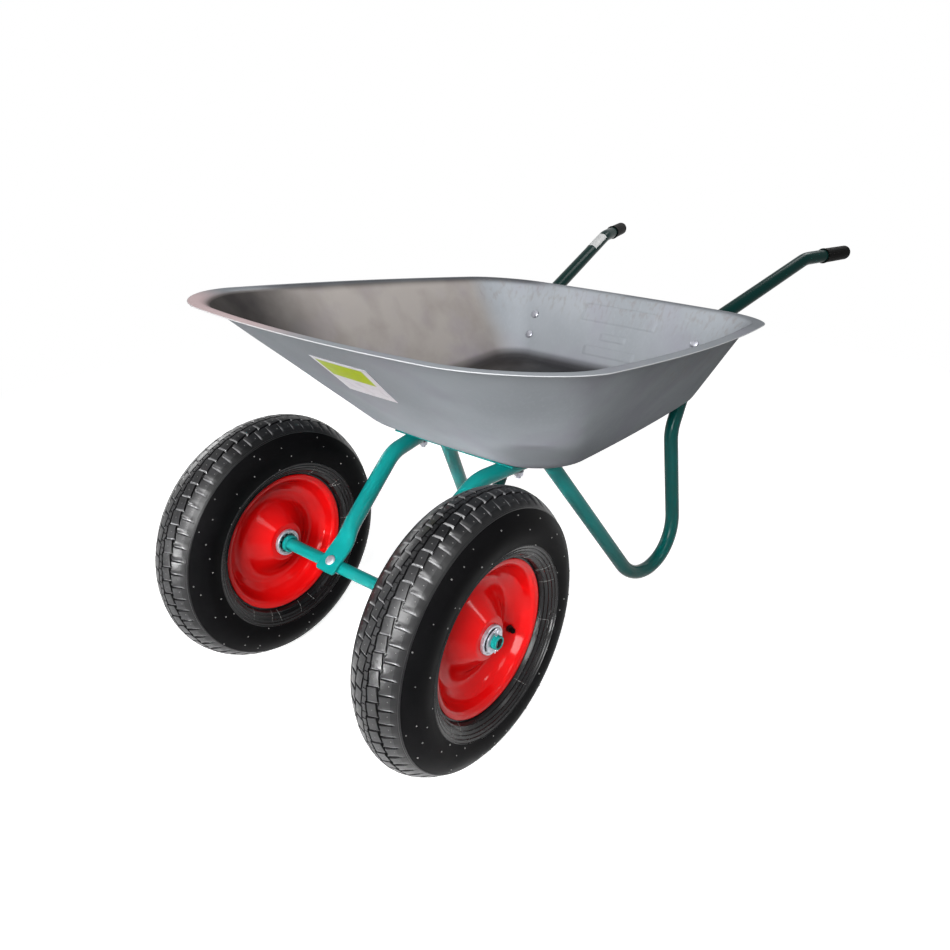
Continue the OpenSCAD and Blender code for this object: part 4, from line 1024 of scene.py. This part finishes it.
def mouldHairs(seed):
    # thin radial seams between the rim's rings and the wall, a tapered ridge each
    p = seamShape
    rng = np.random.default_rng(seed)
    k = np.linspace(0, 1, 10)[None]
    a = around(6)
    wide = p["width"] * np.sin(np.pi * (0.08 + 0.84 * k))
    parts = []
    for way in (1, -1):
        for start in rng.uniform(0, 2 * np.pi, p["count"]):
            dist = p["start"] - (p["length"][0] + p["length"][1] * rng.random()) * k
            turn = start + p["lean"] * k * k * rng.uniform(-1, 1)
            r = onSection(dist)[0]
            ridge = sectionPoint(dist + 0 * a, turn + wide * np.cos(a) / r, wide * 1.2 * np.sin(a), way)
            parts.append(capped(ridge))
    return join(parts)


# rims: two pressed half shells, dished between a rolled flange and a land on the hub

rimShape = dict(line=[(21.55, 31.82), (30.5, 31.82), (64.41, 2), (77.97, 2), (94.5, 12), (104, 34),
                      (113.4, 34), (113.4, 32.2)],
                corner=[7, 24, 15, 24, 11, 1.5], thick=2.0, sides=240, rings=110, valveAt=207.0, holeR=5.4,
                valveR=88.49, valveZ=8.14, valveOut=(-0.5043, 0.8636))


def halfRim(way):
    # the rounded outer face carried round the axle
    p = rimShape
    r, h = filledIn(rounded(p["line"], p["corner"], 8), p["rings"])
    a = around(p["sides"])
    return np.stack([r * np.cos(a), h + 0 * r + 0 * a, r * np.sin(a)], -1) * (1, way, 1)


def solidRim(name, points, centre, body, stands, hole):
    # the valve's hole is cut from the grid and its edge made round; the sheet's thickness lies behind
    verts, quads, tris = grid(points)
    if hole is not None:
        spot, axis = hole
        mid = verts[quads].mean(1) - spot
        away = np.linalg.norm(mid - (mid @ axis)[:, None] * axis, axis=1)
        gone = away < rimShape["holeR"]
        shared = np.intersect1d(np.unique(quads[gone]), np.unique(quads[~gone]))
        flat = verts[shared] - spot
        depth = (flat @ axis)[:, None] * axis
        verts[shared] = spot + depth + unit(flat - depth) * rimShape["holeR"]
        quads = quads[~gone]
    a, b, c = verts[quads[0, 0]], verts[quads[0, 1]], verts[quads[0, 2]]
    if np.cross(b - a, c - a)[1] * np.sign(points[0, 0, 1]) < 0:
        quads = quads[:, ::-1]
    piece = makePiece(name, (verts + centre, quads, tris), redEnamel, body, stands, 60)
    shell = piece.modifiers.new("sheet", "SOLIDIFY")
    shell.thickness = rimShape["thick"] * mm
    shell.offset = -1


hubShape = dict(radius=21.5, bore=18.55, half=37.0, bevel=0.9)  # an open tube round the bearings


# valve: rubber covered stem with a bead at the rim's hole and a fluted cap

valveShape = dict(stem=[(0.01, -9), (4.0, -9), (4.0, -2.4), (5.25, -1.6), (5.25, 1.4), (4.8, 2.2), (4.5, 5.0),
                        (3.9, 6), (0.01, 6)],
                  cap=[(0.01, 6.1), (3.6, 6.1), (3.95, 6.6), (3.95, 11.6), (3.2, 12.8), (0.01, 13)],
                  flutes=16, fluteDeep=0.35)


def valveCap():
    # the cap's profile carried round, its grip less a cosine flute
    p = valveShape
    a = around(8 * p["flutes"])
    r, h = np.array(p["cap"]).T
    r = r - p["fluteDeep"] * (r > 3.9) * (0.5 - 0.5 * np.cos(a * p["flutes"]))
    return spun(r, h, a)


tyrePoints, tyreFinish, tyreMarks = tyreSurface()
for side, name, seed in ((1, "left", 11), (-1, "right", 23)):
    body = name + "_wheel"
    centre = np.array([axleX, side * tyreShape["track"] / 2, axleZ])
    outwards = np.array([0.0, side, 0.0])
    part = looped(tyrePoints + centre)
    makePiece(name + "_treaded_tyre", part, [wallRubber, treadRubber, bandRubber, shoulderRubber], body,
              [name + "_tyre"], 32, tyreMarks, tyreFinish)
    for kind, moulded in (("_mould_nubs", mouldNubs(seed)), ("_mould_seams", mouldHairs(seed + 1))):
        makePiece(name + kind, (moulded[0] + centre, *moulded[1:]), glintNubRubber, body, (), 60)
    t = np.radians(rimShape["valveAt"])
    radial = np.array([np.cos(t), 0, np.sin(t)])
    spot = rimShape["valveR"] * radial + rimShape["valveZ"] * outwards
    axis = rimShape["valveOut"][0] * radial + rimShape["valveOut"][1] * outwards
    solidRim(name + "_outer_dish", halfRim(side), centre, body, [name + "_outer_half_rim"], (spot, axis))
    solidRim(name + "_inner_dish", halfRim(-side), centre, body, [name + "_inner_half_rim"], None)
    p, forward = axleShape, (1, 0, 0)
    beside = p["washerAt"] * outwards
    stem = placed(turned(valveShape["stem"], 40), centre + spot, axis)
    cap = placed(valveCap(), centre + spot, axis)
    hub = placed(bevelledTube(hubShape, 80), centre, outwards, forward)
    washer = washerRing(p["washerR"], p["holeR"], p["washerT"], 0.5)
    washer = placed(washer, centre + beside, outwards, forward)
    collar = washerRing(p["collarR"], p["holeR"], p["collarLen"], 1.2)
    collar = placed(collar, centre - beside, -outwards, forward)
    pin = splitPin() + centre + p["pinAt"] * outwards
    for kind, part, finish, rider, node, slot, sharp in (
            ("_valve_rubber", capped(stem), valveRubber, body, "_valve_stem", "tube_rubber", 40),
            ("_fluted_cap", capped(cap), gripVinyl, body, "_valve_cap", "black_grip", 40),
            ("_hub_tube", looped(hub), zincPlate, body, "_hub_sleeve", "zinc_steel", 30),
            ("_axle_washer", looped(washer), zincPlate, "frame", "_outer_washer", "zinc_steel", 30),
            ("_axle_collar", looped(collar), tealEnamel, "frame", "_inner_collar", "green_paint", 30),
            ("_bent_pin", capped(pin), zincPlate, "frame", "_split_pin", "zinc_steel", 40)):
        makePiece(name + kind, part, finish, rider, [name + node], sharp)
    print(name, "wheel built:", len(tyrePoints), "lines round the tyre")

for node, finish in (("inner_tube", tubeRubber), ("bearing_outer_rings", bearingSteel),
                     ("bearing_inner_rings", bearingSteel), ("bearing_balls", bearingSteel)):
    for name in ("left_", "right_"):
        cadNodes[name + node].data.materials.clear()
        cadNodes[name + node].data.materials.append(finish)


# floor: white to the camera and in reflections but for the barrow's shadow, plain grey to the light that
# it throws back

floorFinish, tree, shader, place = newFinish("paleStudioFloor")
tree.nodes.remove(shader)
output = next(n for n in tree.nodes if n.type == "OUTPUT_MATERIAL")
matt = addNode(tree, "BsdfDiffuse", {"Color": linear(studio["floorBounce"])})
lit = addNode(tree, "BsdfDiffuse", {"Color": linear(studio["floorSeen"])})
glow = addNode(tree, "Emission", {"Color": (1, 1, 1, 1), "Strength": studio["floorGlow"]})
near = addNode(tree, "AddShader", links={0: lit.outputs[0], 1: glow.outputs[0]})
white = addNode(tree, "Emission", {"Color": (1, 1, 1, 1), "Strength": 1.0})
away = addNode(tree, "VectorMath", {"operation": "LENGTH"}, {0: place})
fade = addNode(tree, "MapRange", {"From Min": studio["fadeNear"], "From Max": studio["fadeFar"],
                                  "interpolation_type": "SMOOTHSTEP"}, {"Value": away.outputs["Value"]})
shown = addNode(tree, "MixShader", links={0: fade.outputs[0], 1: near.outputs[0], 2: white.outputs[0]})
blend = addNode(tree, "MixShader", links={0: backdropRays(tree), 1: matt.outputs[0], 2: shown.outputs[0]})
tree.links.new(blend.outputs[0], output.inputs["Surface"])
reach = studio["floorReach"]
floorMesh = bpy.data.meshes.new("studioFloor")
floorCorners = [(x * reach, y * reach, 0) for x, y in ((-1, -1), (1, -1), (1, 1), (-1, 1))]
floorMesh.from_pydata(floorCorners, [], [(0, 1, 2, 3)])
floorMesh.materials.append(floorFinish)
floor = bpy.data.objects.new("studioFloor", floorMesh)
scene.collection.objects.link(floor)
